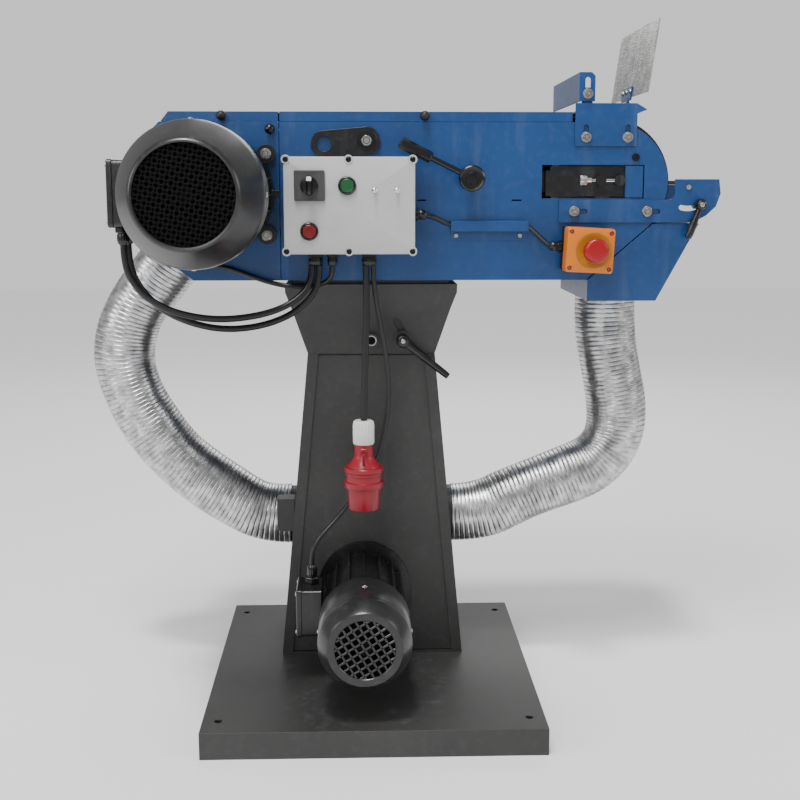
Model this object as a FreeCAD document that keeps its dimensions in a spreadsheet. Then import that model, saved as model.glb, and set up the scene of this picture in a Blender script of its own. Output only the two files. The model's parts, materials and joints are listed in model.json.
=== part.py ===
import FreeCAD, Part
import math
import os
import re
import Sketcher

# A two-wheel belt grinder on a pillar: the head tilts on the pillar, dust is drawn off by a blower.
# Origin: centre of the base tray on the floor. +X towards the contact wheel, +Y to the rear, +Z up.

doc = FreeCAD.newDocument("belt_grinder")
sheet = doc.addObject("Spreadsheet::Sheet", "Sizes")
V = FreeCAD.Vector

DRIVING_SIZES = {
    # stand
    "base_width": 530, "base_depth": 590, "base_height": 43, "base_sheet": 4,
    "anchor_span_x": 480, "anchor_span_y": 503, "anchor_radius": 6,
    "sheet_metal": 3, "pillar_front": 30, "pillar_depth": 210, "foot_width": 316, "neck_width": 215,
    "pillar_top": 577, "return_width": 18, "pivot_height": 599, "pivot_radius": 8,
    "lock_offset": 53, "lock_radius": 6, "tilt_range": 36, "running_gap": 0.05,
    "cheek_front": 25, "cheek_sheet": 4, "cheek_bend": 652, "saddle_top": 694, "saddle_width": 287,
    # head
    "head_front": -12, "head_back": 263, "head_bottom": 702, "lid_seam": 957, "head_top": 973,
    "seam_x": -148, "lid_end": 327, "belly_end": 355, "head_left": -388,
    # belt drive
    "drive_x": -257, "drive_height": 841, "drive_wheel_radius": 120, "contact_x": 388,
    "contact_height": 860, "contact_radius": 106, "belt_front": 22, "belt_width": 150,
    "belt_sheet": 1.2, "belt_gap": 0.3, "shaft_radius": 14, "axle_radius": 10,
    # motors
    "main_core": 88, "main_fin": 99, "main_cowl": 106, "main_grille": 75, "fin_sheet": 3,
    "blower_x": -14, "blower_height": 166, "blower_core": 60, "blower_fin": 68,
    "blower_cowl_radius": 73, "blower_grille": 58,
    # extraction
    "duct_radius": 53, "duct_wall": 2, "duct_y": 130, "spigot_radius": 50,
    # controls
    "box_left": -137, "box_width": 205, "box_bottom": 749, "box_height": 150, "box_depth": 60,
    "box_lid": 14, "button_radius": 11, "bezel_radius": 14, "mushroom_radius": 20,
    "motor_cable": 10.5, "power_cable": 10.7, "thin_cable": 8,
}
for row, (alias, number) in enumerate(DRIVING_SIZES.items(), start=1):
    sheet.set("A%d" % row, alias.replace("_", " "))
    sheet.set("B%d" % row, str(number))
    sheet.setAlias("B%d" % row, alias)
doc.recompute()


class SheetReader:
    """Reads a driving size from the spreadsheet by its alias."""

    def __getattr__(self, alias):
        return float(sheet.get(alias))


size = SheetReader()
ALIAS = re.compile(r"\b(" + "|".join(sorted(DRIVING_SIZES, key=len, reverse=True)) + r")\b")
TURN = {
    "x": FreeCAD.Rotation(V(0, 1, 0), 90),
    "y": FreeCAD.Rotation(V(1, 0, 0), -90),
    "z": FreeCAD.Rotation(),
}
nodes = {}


def bind(item, **expressions):
    """Bind properties to spreadsheet expressions; a double underscore stands for a dot."""
    for prop, text in expressions.items():
        item.setExpression(prop.replace("__", "."), ALIAS.sub(r"Sizes.\1", str(text)))
    return item


def place(item, x=0, y=0, z=0, rotation=None):
    if rotation is not None:
        item.Placement = FreeCAD.Placement(V(0, 0, 0), rotation)
    return bind(item, Placement__Base__x=x, Placement__Base__y=y, Placement__Base__z=z)


def box(name, x, y, z, dx, dy, dz):
    item = doc.addObject("Part::Box", name)
    bind(item, Length=dx, Width=dy, Height=dz)
    return place(item, x, y, z)


def cylinder(name, axis, x, y, z, radius, length):
    item = doc.addObject("Part::Cylinder", name)
    bind(item, Radius=radius, Height=length)
    return place(item, x, y, z, TURN[axis])


def cone(name, axis, x, y, z, start_radius, end_radius, length):
    item = doc.addObject("Part::Cone", name)
    bind(item, Radius1=start_radius, Radius2=end_radius, Height=length)
    return place(item, x, y, z, TURN[axis])


def fuse(name, *pieces):
    item = doc.addObject("Part::MultiFuse", name)
    item.Shapes = list(pieces)
    return item


def cut(name, base, *tools):
    item = doc.addObject("Part::Cut", name)
    item.Base = base
    item.Tool = tools[0] if len(tools) == 1 else fuse(name + "_tools", *tools)
    return item


def group(name, *pieces):
    item = doc.addObject("Part::Compound", name)
    item.Links = list(pieces)
    return item


def node(name, item):
    """Register the finished sub-part: its Label is the node's name."""
    item.Label = name
    nodes[name] = item
    return item


def ring_pipe(name, axis, x, y, z, outer, inner, length):
    """A straight pipe; the bore runs through both ends."""
    return cut(name, cylinder(name + "_outside", axis, x, y, z, outer, length),
               cylinder(name + "_bore", axis, x, y, z, inner, length))


# ---------------------------------------------------------------- sketches
def draw(body, role, name, outlines):
    """A sketch of closed outlines: polygons with arcs, circles and slots, on one of the body's planes."""
    sketch = body.newObject("Sketcher::SketchObject", name)
    plane = [f for f in body.Origin.OriginFeatures if f.Role == role][0]
    sketch.AttachmentSupport = [(plane, "")]
    sketch.MapMode = "FlatFace"
    for outline in outlines:
        if outline[0] == "circle":
            add_circle(sketch, *outline[1:])
        elif outline[0] == "slot":
            add_outline(sketch, slot_points(*outline[1:]))
        else:
            add_outline(sketch, outline)
    return sketch


def add_circle(sketch, x, z, radius):
    index = sketch.addGeometry(Part.Circle(V(x, z, 0), V(0, 0, 1), 1.0), False)
    rule = sketch.addConstraint(Sketcher.Constraint("Radius", index, 1.0))
    sketch.addConstraint(Sketcher.Constraint("DistanceX", -1, 1, index, 3, x))
    sketch.addConstraint(Sketcher.Constraint("DistanceY", -1, 1, index, 3, z))
    bind(sketch, **{"Constraints[%d]" % rule: radius})


def add_outline(sketch, points):
    """Points in order; a point of four numbers is reached by an arc through its last two."""
    start = points[0][:2]
    here = V(start[0], start[1], 0)
    closed = math.dist(points[-1][:2], start) < 1e-6
    closing = [] if closed else [start]
    for point in list(points[1:]) + closing:
        there = V(point[0], point[1], 0)
        if len(point) == 4:
            sketch.addGeometry(Part.Arc(here, V(point[2], point[3], 0), there), False)
        else:
            sketch.addGeometry(Part.LineSegment(here, there), False)
        here = there


def slot_points(x_start, z_start, x_end, z_end, radius):
    along = V(x_end - x_start, z_end - z_start, 0).normalize()
    side = V(-along.y, along.x, 0) * radius
    tip = along * radius
    return [(x_start + side.x, z_start + side.y),
            (x_start - side.x, z_start - side.y, x_start - tip.x, z_start - tip.y),
            (x_end - side.x, z_end - side.y),
            (x_end + side.x, z_end + side.y, x_end + tip.x, z_end + tip.y)]


def on_circle(x, z, radius, degrees):
    angle = math.radians(degrees)
    return (x + radius * math.cos(angle), z + radius * math.sin(angle))


def arc_slot_points(x, z, radius, start, end, half_width):
    """A slot bent round a centre, from one angle to another in degrees."""
    outer = radius + half_width
    inner = radius - half_width
    middle = (start + end) / 2
    tip = math.degrees(half_width / radius)
    return [on_circle(x, z, outer, start),
            on_circle(x, z, outer, end) + on_circle(x, z, outer, middle),
            on_circle(x, z, inner, end) + on_circle(x, z, radius, end + tip),
            on_circle(x, z, inner, start) + on_circle(x, z, inner, middle),
            on_circle(x, z, outer, start) + on_circle(x, z, radius, start - tip)]


def pad(body, sketch, length):
    item = body.newObject("PartDesign::Pad", sketch.Name + "_pad")
    item.Profile = sketch
    bind(item, Length=length)
    body.Tip = item
    return item


def front_plate(name, outlines, back_face, thickness, role="XZ_Plane"):
    """A sheet facing the front: outlines in X and Z, its rear face at back_face, padded towards -Y."""
    body = doc.addObject("PartDesign::Body", name)
    pad(body, draw(body, role, name + "_outline", outlines), thickness)
    return place(body, 0, back_face, 0)


def profile_along_x(name, outline, x_start, length):
    """A bent sheet: its profile in Y and Z, padded towards +X."""
    body = doc.addObject("PartDesign::Body", name)
    pad(body, draw(body, "YZ_Plane", name + "_profile", [outline]), length)
    return place(body, x_start, 0, 0)


def shape_feature(name, shape):
    item = doc.addObject("Part::Feature", name)
    item.Shape = shape
    return item


# ---------------------------------------------------------------- cords and ducts
def bent_path(points, name):
    """Straight runs joined by tangent arcs, each as large as its two runs allow."""
    points = [V(*p) for p in points]
    edges = []
    radii = []
    here = points[0]
    for before, corner, after in zip(points, points[1:], points[2:]):
        to_corner = corner - before
        from_corner = after - corner
        half_turn = to_corner.getAngle(from_corner) / 2
        trim = 0.45 * min(to_corner.Length, from_corner.Length)
        radius = trim / math.tan(half_turn)
        radii.append(radius)
        start = corner - to_corner.normalize() * trim
        end = corner + from_corner.normalize() * trim
        centre_way = (from_corner - to_corner).normalize()
        depth = radius / math.cos(half_turn) - radius
        edges.append(Part.LineSegment(here, start).toShape())
        edges.append(Part.Arc(start, corner + centre_way * depth, end).toShape())
        here = end
    edges.append(Part.LineSegment(here, points[-1]).toShape())
    path = Part.Wire(edges)
    print("%s: length %.0f, radii %s" % (name, path.Length, " ".join("%.0f" % r for r in radii)))
    return path, points[1] - points[0]


def tube(name, points, radius, wall=0):
    path, direction = bent_path(points, name)
    start = V(*points[0])

    def sweep(section_radius):
        section = Part.Wire([Part.Circle(start, direction, section_radius).toShape()])
        return path.makePipeShell([section], True, False)

    shape = sweep(radius)
    area = math.pi * radius ** 2
    if wall:
        shape = shape.cut(sweep(radius - wall))
        area -= math.pi * (radius - wall) ** 2
    expected = area * path.Length
    print("%s: volume %.0f, section times length %.0f" % (name, shape.Volume, expected))
    return shape_feature(name, shape)


# ---------------------------------------------------------------- stand
def make_base():
    outside = box("tray_outside", "-base_width / 2", "-base_depth / 2", 0, "base_width", "base_depth",
                  "base_height")
    inside = box("tray_inside", "-base_width / 2 + base_sheet", "-base_depth / 2 + base_sheet", -1,
                 "base_width - 2 * base_sheet", "base_depth - 2 * base_sheet", "base_height - base_sheet + 1")
    holes = []
    for side in (-1, 1):
        for end in (-1, 1):
            holes.append(cylinder("anchor_hole", "z", "%d * anchor_span_x / 2" % side,
                                  "%d * anchor_span_y / 2" % end, 0, "anchor_radius", "base_height + 1"))
    node("base_tray", cut("base_tray", outside, inside, *holes))


def half_width(z):
    """Half the pillar's outside width at a height: it tapers evenly from foot to neck."""
    share = (z - size.base_height) / (size.pillar_top - size.base_height)
    return (size.foot_width + (size.neck_width - size.foot_width) * share) / 2


def make_pillar():
    foot = size.base_height
    top = size.pillar_top
    wall = size.sheet_metal
    outline = [(-half_width(foot), foot), (half_width(foot), foot), (half_width(top), top),
               (-half_width(top), top)]
    hollow = [(-half_width(foot + wall) + wall, foot + wall), (half_width(foot + wall) - wall, foot + wall),
              (half_width(top - wall) - wall, top - wall), (-half_width(top - wall) + wall, top - wall)]
    fold = size.return_width
    returns = []
    for side in (-1, 1):
        returns.append([(side * half_width(foot), foot), (side * half_width(top), top),
                        (side * (half_width(top) - fold), top), (side * (half_width(foot) - fold), foot)])
    body = doc.addObject("PartDesign::Body", "pillar_folded")
    pad(body, draw(body, "XZ_Plane", "pillar_walls", [outline, hollow]), "pillar_depth")
    pad(body, draw(body, "XZ_Plane", "pillar_back", [outline]), "sheet_metal")
    place(body, 0, "pillar_front + pillar_depth", 0)
    front = front_plate("pillar_returns", [returns[0]], "pillar_front + sheet_metal", "sheet_metal")
    front_right = front_plate("pillar_return_right", [returns[1]], "pillar_front + sheet_metal", "sheet_metal")
    duct_height = 272
    half = half_width(duct_height)
    holes = cylinder("pillar_duct_holes", "x", -half - 10, "duct_y", duct_height, "spigot_radius - 2",
                     2 * half + 20)
    spigots = []
    for side in (-1, 1):
        start = side * (half - 8) if side > 0 else -half - 24
        spigots.append(cylinder("pillar_spigot", "x", start, "duct_y", duct_height, "spigot_radius", 32))
    bracket = cut("bracket_sheet", box("bracket_outside", -half - 28, 40, 263, 30, 35, 57),
                  box("bracket_inside", -half - 26, 42, 265, 40, 40, 53))
    walls = fuse("pillar_with_spigots", body, front, front_right, *spigots, bracket)
    node("pillar_shell", cut("pillar_shell", walls, holes))
    gap = 1
    panel = [(-half_width(foot) + 5, foot + wall + gap), (half_width(foot) - 5, foot + wall + gap),
             (half_width(top) - 5, top - wall - gap), (-half_width(top) + 5, top - wall - gap)]
    inlet = ("circle", size.blower_x, size.blower_height, "blower_core - 10")
    node("pillar_front_panel", front_plate("front_panel_sheet", [panel, inlet],
                                           "pillar_front + 2 * sheet_metal", "sheet_metal"))


def make_pillar_head():
    top = size.pillar_top
    height = size.pivot_height
    cap = 75
    cheek = [(-100, top), (100, top), (100, height), (cap, height), (-cap, height, 0, height + cap),
             (-100, height)]
    pivot = ("circle", 0, height, "pivot_radius + running_gap")
    lock = ("circle", size.lock_offset, height, "lock_radius + running_gap")
    front = front_plate("head_cheek_front", [cheek, pivot, lock], "pillar_front + 6", 6)
    rear = front_plate("head_cheek_rear", [cheek, pivot], "pillar_front + pillar_depth", 6)
    web = box("head_web", -90, "pillar_front", top, 180, "pillar_depth", 6)
    node("pillar_head", fuse("pillar_head", front, rear, web))
    bolt = cylinder("pivot_shank", "y", 0, 17, height, "pivot_radius", 236)
    head = cylinder("pivot_bolt_head", "y", 0, 13, height, 12, 8)
    nut = cylinder("pivot_nut", "y", 0, 249, height, 13, 12)
    stud = cylinder("lock_shank", "y", size.lock_offset, 4, height, "lock_radius", 32)
    washer = cylinder("lock_washer", "y", size.lock_offset, 22, height, 16, 2.7)
    screw = fuse("lock_stud", stud, washer)
    node("pivot_bolts", group("pivot_bolts", fuse("pivot_bolt", bolt, head, nut), screw))


def clamp_lever(name, x, y, z, degrees, length, hub, bore):
    """A clamp lever: a hub on a stud and a flat arm that widens from it, in a plane parallel to XZ."""
    arm_body = doc.addObject("PartDesign::Body", name + "_arm")
    tip = on_circle(0, 0, length, degrees)
    side = on_circle(0, 0, 1, degrees + 90)
    root_half = 6.5
    tip_half = 4.5
    outline = [(side[0] * root_half, side[1] * root_half), (-side[0] * root_half, -side[1] * root_half),
               (tip[0] - side[0] * tip_half, tip[1] - side[1] * tip_half),
               (tip[0] + side[0] * tip_half, tip[1] + side[1] * tip_half)]
    pad(arm_body, draw(arm_body, "XZ_Plane", name + "_outline", [outline]), 9)
    place(arm_body, x, y + 9, z)
    barrel = cylinder(name + "_hub", "y", x, y, z, hub, 18)
    hole = cylinder(name + "_bore", "y", x, y + 3, z, bore, 30)
    node(name, cut(name, fuse(name + "_solid", arm_body, barrel), hole))


def make_blower():
    x = "blower_x"
    z = "blower_height"
    flange = cylinder("blower_flange", "y", x, "pillar_front + sheet_metal - 10", z, 80, 10)
    core = cylinder("blower_core_cylinder", "y", x, -150, z, "blower_core", 175)
    fins = fin_ring("blower", x, z, -145, 160, "blower_fin", 16)
    bore = cylinder("blower_bore", "y", x, -160, z, 46, 220)
    end_plate = ring_pipe("blower_end", "y", x, -144, z, 50, 12, 6)
    front_end = ring_pipe("blower_front_end", "y", x, 20, z, 50, 12, 6)
    motor = cut("blower_hollow", fuse("blower_cast", flange, core, *fins), bore)
    node("blower_motor_body", fuse("blower_motor_body", motor, end_plate, front_end))
    cowl("blower_cowl", x, z, -150, -255, -283, "blower_cowl_radius", "blower_grille", 46)
    housing = box("blower_terminals", -128, -110, 122, 34, 82, 82)
    neck = box("blower_terminal_neck", -96, -100, 140, 14, 62, 50)
    clear = cylinder("blower_terminal_clear", "y", x, -160, z, "blower_fin + 0.5", 200)
    gland = cylinder("blower_gland", "z", -101, -65, 203, 10, 20)
    tip = cylinder("blower_gland_tip", "z", -101, -65, 222, 7, 13)
    bore_cable = cylinder("blower_gland_bore", "z", -101, -65, 225, 4.1, 20)
    terminal = cut("blower_terminal_solid", fuse("blower_terminal_all", housing, neck, gland, tip), clear,
                   bore_cable)
    node("blower_terminal_box", terminal)
    shaft = cylinder("blower_shaft_rod", "y", x, -172, z, 11.95, 250)
    fan = cylinder("blower_fan_disc", "y", x, -200, z, 52, 14)
    hub = cylinder("blower_fan_hub", "y", x, -200, z, 18, 40)
    node("blower_shaft", fuse("blower_shaft", shaft, fan, hub))
    disc = cylinder("impeller_disc", "y", x, 66, z, 85, 4)
    collar = cylinder("impeller_collar", "y", x, 66, z, 22, 34)
    blades = []
    for index in range(8):
        blade = box("impeller_blade", 24, -1.5, 0, 58, 3, 34)
        blade.Placement = FreeCAD.Placement(
            V(size.blower_x, 69, size.blower_height),
            FreeCAD.Rotation(V(0, 1, 0), 45 * index).multiply(FreeCAD.Rotation(V(1, 0, 0), -90)))
        for prop in ("Placement.Base.x", "Placement.Base.y", "Placement.Base.z"):
            blade.setExpression(prop, None)
        blades.append(blade)
    bore = cylinder("impeller_bore", "y", x, 60, z, 11.96, 60)
    node("blower_impeller", cut("blower_impeller", fuse("impeller_solid", disc, collar, *blades), bore))
    scroll = ring_pipe("scroll_wall", "y", x, 36, z, 100, 97, 74)
    back = ring_pipe("scroll_back", "y", x, 110, z, 100, 50, 3)
    outlet = box("scroll_outlet", "blower_x - 30", 52, "blower_height + 80", 60, 56, 30)
    node("blower_scroll", cut("blower_scroll", fuse("scroll_solid", scroll, back), outlet))


def fin_ring(name, x, z, y_start, length, reach, count):
    """Cooling fins: thin radial boxes round an axis along Y."""
    fins = []
    for index in range(count):
        fin = doc.addObject("Part::Box", name + "_fin")
        bind(fin, Length=reach, Width=length, Height="fin_sheet")
        turn = FreeCAD.Rotation(V(0, 1, 0), 360.0 * index / count)
        corner = turn.multVec(V(0, 0, -size.fin_sheet / 2))
        fin.Placement = FreeCAD.Placement(V(0, 0, 0), turn)
        bind(fin, Placement__Base__x="%s + (%.6f)" % (x, corner.x), Placement__Base__y=y_start,
             Placement__Base__z="%s + (%.6f)" % (z, corner.z))
        fins.append(fin)
    return fins


def cowl(label, x, z, y_rear, y_rim, y_front, outer, face, grille):
    """A fan cowl: a thin drum that narrows to a face with slots for air."""
    drum = cylinder(label + "_drum", "y", x, y_rim, z, outer, y_rear - y_rim)
    nose = cone(label + "_nose", "y", x, y_front, z, face, outer, y_rim - y_front)
    inside = cylinder(label + "_inside", "y", x, y_rim, z, "%s - 2" % outer, y_rear - y_rim + 1)
    nose_inside = cone(label + "_nose_inside", "y", x, y_front + 2.5, z, "%s - 2" % face, "%s - 2" % outer,
                       y_rim - y_front - 2.5)
    slots = []
    pitch = grille / 3.5
    for index in range(-3, 4):
        reach = math.sqrt(max(grille ** 2 - (abs(index) * pitch + pitch / 3) ** 2, pitch ** 2))
        slots.append(box(label + "_slot", "%s - %.2f" % (x, reach), y_front - 1,
                         "%s + %.2f" % (z, index * pitch - pitch / 3), 2 * reach, 5, 2 * pitch / 3))
    node(label, cut(label, fuse(label + "_skin", drum, nose), inside, nose_inside, *slots))


# ---------------------------------------------------------------- tilting head
def make_saddle():
    front = size.cheek_front
    sheet_gauge = size.cheek_sheet
    bend = size.cheek_bend
    top = size.saddle_top
    low = size.pillar_top
    rear = size.pillar_front + size.pillar_depth + 1
    lean = 18
    profile = [(front, low), (front + sheet_gauge, low), (front + sheet_gauge, bend),
               (front - lean + sheet_gauge, top - sheet_gauge),
               (rear + lean / 2, top - sheet_gauge), (rear, bend), (rear, low), (rear + sheet_gauge, low),
               (rear + sheet_gauge, bend), (rear + lean / 2 + sheet_gauge, top), (front - lean, top),
               (front, bend)]
    sides = [(-size.neck_width / 2, low), (size.neck_width / 2, low), (size.saddle_width / 2, top - 14),
             (size.saddle_width / 2, top), (-size.saddle_width / 2, top), (-size.saddle_width / 2, top - 14)]
    channel = profile_along_x("saddle_channel", profile, "-saddle_width / 2", "saddle_width")
    pivot = ("circle", 0, size.pivot_height, "pivot_radius + running_gap")
    slot = arc_slot_points(0, size.pivot_height, size.lock_offset, 0, size.tilt_range, size.lock_radius + 0.3)
    block = front_plate("saddle_sides", [sides, pivot, slot], 300, 320)
    cheeks = doc.addObject("Part::Common", "saddle_cheeks")
    cheeks.Base = channel
    cheeks.Tool = block
    spacer = box("saddle_spacer", -130, 14, "saddle_top", 260, 232, "head_bottom - saddle_top")
    node("saddle", fuse("saddle", cheeks, spacer))


def make_head_shell():
    front = size.head_front + size.sheet_metal
    wall = size.sheet_metal
    bottom = size.head_bottom
    left = size.head_left
    seam = size.lid_seam
    outer = [(size.belly_end, bottom), (-291, bottom), (left, 775), (left, 909), (-340, seam)]
    inner = [(-340 + wall * 1.2, seam - wall / 2), (left + wall, 909 - wall / 2), (left + wall, 775 + wall / 2),
             (-291 + wall / 3, bottom + wall), (size.belly_end, bottom + wall)]
    body = doc.addObject("PartDesign::Body", "band_sheet")
    pad(body, draw(body, "XZ_Plane", "band_outline", [outer + inner]), "head_back - head_front - 2 * sheet_metal")
    place(body, 0, "head_back - sheet_metal", 0)
    face = V(-339.5, size.duct_y, 738.5)
    out = V(bottom - 775, 0, left + 291).normalize()
    collar = duct_collar("left_outlet", face, out)
    hole = duct_hole("left_outlet_hole", face, out)
    node("head_band", cut("head_band", fuse("band_with_collar", body, collar), hole))
    drive_outline = [(size.seam_x - 0.5, bottom), (-291, bottom), (left, 775), (left, 909), (-340, seam),
                     (size.seam_x - 0.5, seam)]
    shaft_hole = ("circle", size.drive_x, size.drive_height, 52)
    bolt_holes = [("circle", x, z, 6.3) for x, z in motor_bolt_places()]
    node("drive_panel", front_plate("drive_panel_sheet", [drive_outline, shaft_hole] + bolt_holes, front,
                                    "sheet_metal"))
    face = front_plate("front_panel_face", front_panel_outlines(), front, "sheet_metal")
    ear = front_plate("bracket_ear", [[(342, 944), (359.5, 944), (359.5, 1012), (342, 1012)],
                                      ("circle", 351, 1002, 4.1)], front + wall, "sheet_metal")
    node("front_panel", fuse("front_panel", face, ear))
    nose = 98
    rear_outline = [(size.belly_end, bottom), (-291, bottom), (left, 775), (left, 909), (-340, seam),
                    (size.lid_end + 2, seam), (size.contact_x, size.contact_height + nose),
                    on_circle(size.contact_x, size.contact_height, nose, -45)
                    + on_circle(size.contact_x, size.contact_height, nose, 20)]
    node("rear_panel", front_plate("rear_panel_sheet", [rear_outline], "head_back", "sheet_metal"))
    table = box("platen_plate", -95, "belt_front", 952, 330, "belt_width", 6)
    leg = box("platen_leg", 20, "belt_front + belt_width - 20", 930, 100, 108, 8)
    rib = box("platen_rib", 20, "belt_front + belt_width - 20", 938, 100, 20, 14)
    node("platen", fuse("platen", table, leg, rib))


def motor_bolt_places():
    return [(size.drive_x + side * 88, size.drive_height + end * 64.5) for side in (-1, 1) for end in (-1, 1)]


def clamp_places():
    """Fixed clamp screws on the front: two for the rest plates, two for the upper guard."""
    return [(332, 814), (452, 814), (349, 933), (417, 933)]


def front_panel_outlines():
    nose = 98
    centre_x = size.contact_x
    centre_z = size.contact_height
    low = on_circle(centre_x, centre_z, nose, -45)
    sheet_outline = [(size.seam_x + 0.5, size.head_bottom), (size.belly_end, size.head_bottom), low,
                     (centre_x, centre_z + nose) + on_circle(centre_x, centre_z, nose, 20),
                     (size.lid_end + 2, size.lid_seam), (size.seam_x + 0.5, size.lid_seam)]
    window = [(279, 835), (447, 835), (447, 889), (279, 889)]
    holes = [("circle", x, z, 4.1) for x, z in clamp_places()]
    lever_hole = ("circle", 161, 867, "shaft_radius - 3.95")
    lug_hole = ("circle", -7, 927, 6.1)
    black_screw = ("circle", 432, 901, 4.1)
    marks = [("slot", 77, 832, 89, 832, 1.2), ("slot", 231, 832, 245, 832, 1.2)]
    return [sheet_outline, window, lever_hole, lug_hole, black_screw] + holes + marks


def duct_collar(name, face, out):
    item = doc.addObject("Part::Cylinder", name)
    bind(item, Radius="spigot_radius", Height=24)
    item.Placement = FreeCAD.Placement(face, FreeCAD.Rotation(V(0, 0, 1), out))
    return item


def duct_hole(name, face, out):
    item = doc.addObject("Part::Cylinder", name)
    bind(item, Radius="spigot_radius - 2", Height=60)
    item.Placement = FreeCAD.Placement(face - out * 30, FreeCAD.Rotation(V(0, 0, 1), out))
    return item


def make_spark_chute():
    wall = size.sheet_metal
    gap = 0.5
    corner = on_circle(size.contact_x, size.contact_height, 98, -45)
    shift = 2.2
    outline = [(357.5, size.head_bottom), (357.5, 667), (472, 667), (540, 794), (corner[0] + 5, 794),
               (corner[0] + shift, corner[1] - gap)]
    walls = [(357.5, size.head_bottom), (357.5, 667), (472, 667), (540, 794), (540 - 3.4, 794),
             (472 - wall * 0.55, 667 + wall), (357.5 + wall, 667 + wall), (357.5 + wall, size.head_bottom)]
    body = doc.addObject("PartDesign::Body", "chute_walls")
    pad(body, draw(body, "XZ_Plane", "chute_band", [walls]), "head_back - head_front")
    place(body, 0, "head_back", 0)
    front = front_plate("chute_front", [outline], "head_front + sheet_metal", "sheet_metal")
    rear = front_plate("chute_rear", [outline], "head_back", "sheet_metal")
    face = V(415, size.duct_y, 667)
    down = V(0, 0, -1)
    solid = fuse("chute_all", body, front, rear, duct_collar("right_outlet", face, down))
    node("spark_chute", cut("spark_chute", solid, duct_hole("right_outlet_hole", face, down)))


def make_main_motor():
    x = "drive_x"
    z = "drive_height"
    flange = cylinder("main_flange", "y", x, "head_front - 14", z, "main_fin + 1", 14)
    ears = []
    bolt_tools = []
    for bolt_x, bolt_z in motor_bolt_places():
        ears.append(cylinder("main_ear", "y", bolt_x, "head_front - 14", bolt_z, 15, 14))
        bolt_tools.append(cylinder("main_bolt_hole", "y", bolt_x, "head_front - 20", bolt_z, 6.1, 30))
    lug = box("main_lug", "drive_x + main_fin - 4", -40, "drive_height - 6", 16, 18, 13)
    core = cylinder("main_core_cylinder", "y", x, -215, z, "main_core", 195)
    fins = fin_ring("main", x, z, -208, 185, "main_fin", 24)
    bore = cylinder("main_bore", "y", x, -230, z, 70, 260)
    ends = [ring_pipe("main_end_rear", "y", x, -208, z, 75, "shaft_radius + running_gap", 8),
            ring_pipe("main_end_front", "y", x, -26, z, 75, "shaft_radius + running_gap", 8)]
    shell = cut("main_hollow", fuse("main_cast", flange, core, lug, *ears, *fins), bore, *bolt_tools)
    node("main_motor_body", fuse("main_motor_body", shell, *ends))
    cowl("main_motor_cowl", x, z, -216, -277, -350, "main_cowl", "main_grille", 66)
    housing = box("main_terminals", -392, -205, 793, 34, 112, 100)
    neck = box("main_terminal_neck", -362, -190, 812, 20, 82, 62)
    clear = cylinder("main_terminal_clear", "y", x, -260, z, "main_fin + 0.5", 300)
    glands = []
    bores = []
    for y in (-178, -140):
        glands.append(cylinder("main_gland", "z", -372, y, 777, 11, 17))
        glands.append(cylinder("main_gland_tip", "z", -372, y, 767, 8, 12))
        bores.append(cylinder("main_gland_bore", "z", -372, y, 760, "motor_cable / 2 + 0.1", 20))
    node("motor_terminal_box", cut("terminal_solid", fuse("terminal_all", housing, neck, *glands), clear,
                                   *bores))


def make_belt_drive():
    x = "drive_x"
    z = "drive_height"
    shaft = cylinder("drive_shaft_rod", "y", x, -236, z, "shaft_radius", 420)
    fan = cylinder("main_fan_disc", "y", x, -262, z, 80, 12)
    hub = cylinder("main_fan_hub", "y", x, -262, z, 25, 40)
    node("drive_shaft", fuse("drive_shaft", shaft, fan, hub))
    rim = ring_pipe("drive_rim", "y", x, "belt_front", z, "drive_wheel_radius", "drive_wheel_radius - 12",
                    "belt_width")
    web = cylinder("drive_web", "y", x, "belt_front + belt_width / 2 - 6", z, "drive_wheel_radius - 11", 12)
    boss = cylinder("drive_boss", "y", x, "belt_front + 30", z, 30, "belt_width - 60")
    bore = cylinder("drive_bore", "y", x, 0, z, "shaft_radius + 0.01", 300)
    node("drive_wheel", cut("drive_wheel", fuse("drive_wheel_solid", rim, web, boss), bore))
    wheel_x = "contact_x"
    wheel_z = "contact_height"
    tyre = ring_pipe("tyre_ring", "y", wheel_x, "belt_front", wheel_z, "contact_radius", "contact_radius - 14",
                     "belt_width")
    node("contact_tyre", tyre)
    core = ring_pipe("contact_core", "y", wheel_x, "belt_front + 2", wheel_z, "contact_radius - 14.02",
                     "contact_radius - 24", "belt_width - 4")
    disc = cylinder("contact_web", "y", wheel_x, "belt_front + belt_width / 2 - 6", wheel_z,
                    "contact_radius - 23", 12)
    middle = cylinder("contact_boss", "y", wheel_x, "belt_front + 20", wheel_z, 26, "belt_width - 40")
    hole = cylinder("contact_bore", "y", wheel_x, 0, wheel_z, "axle_radius + running_gap", 300)
    node("contact_hub", cut("contact_hub", fuse("contact_solid", core, disc, middle), hole))
    make_belt()


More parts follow.
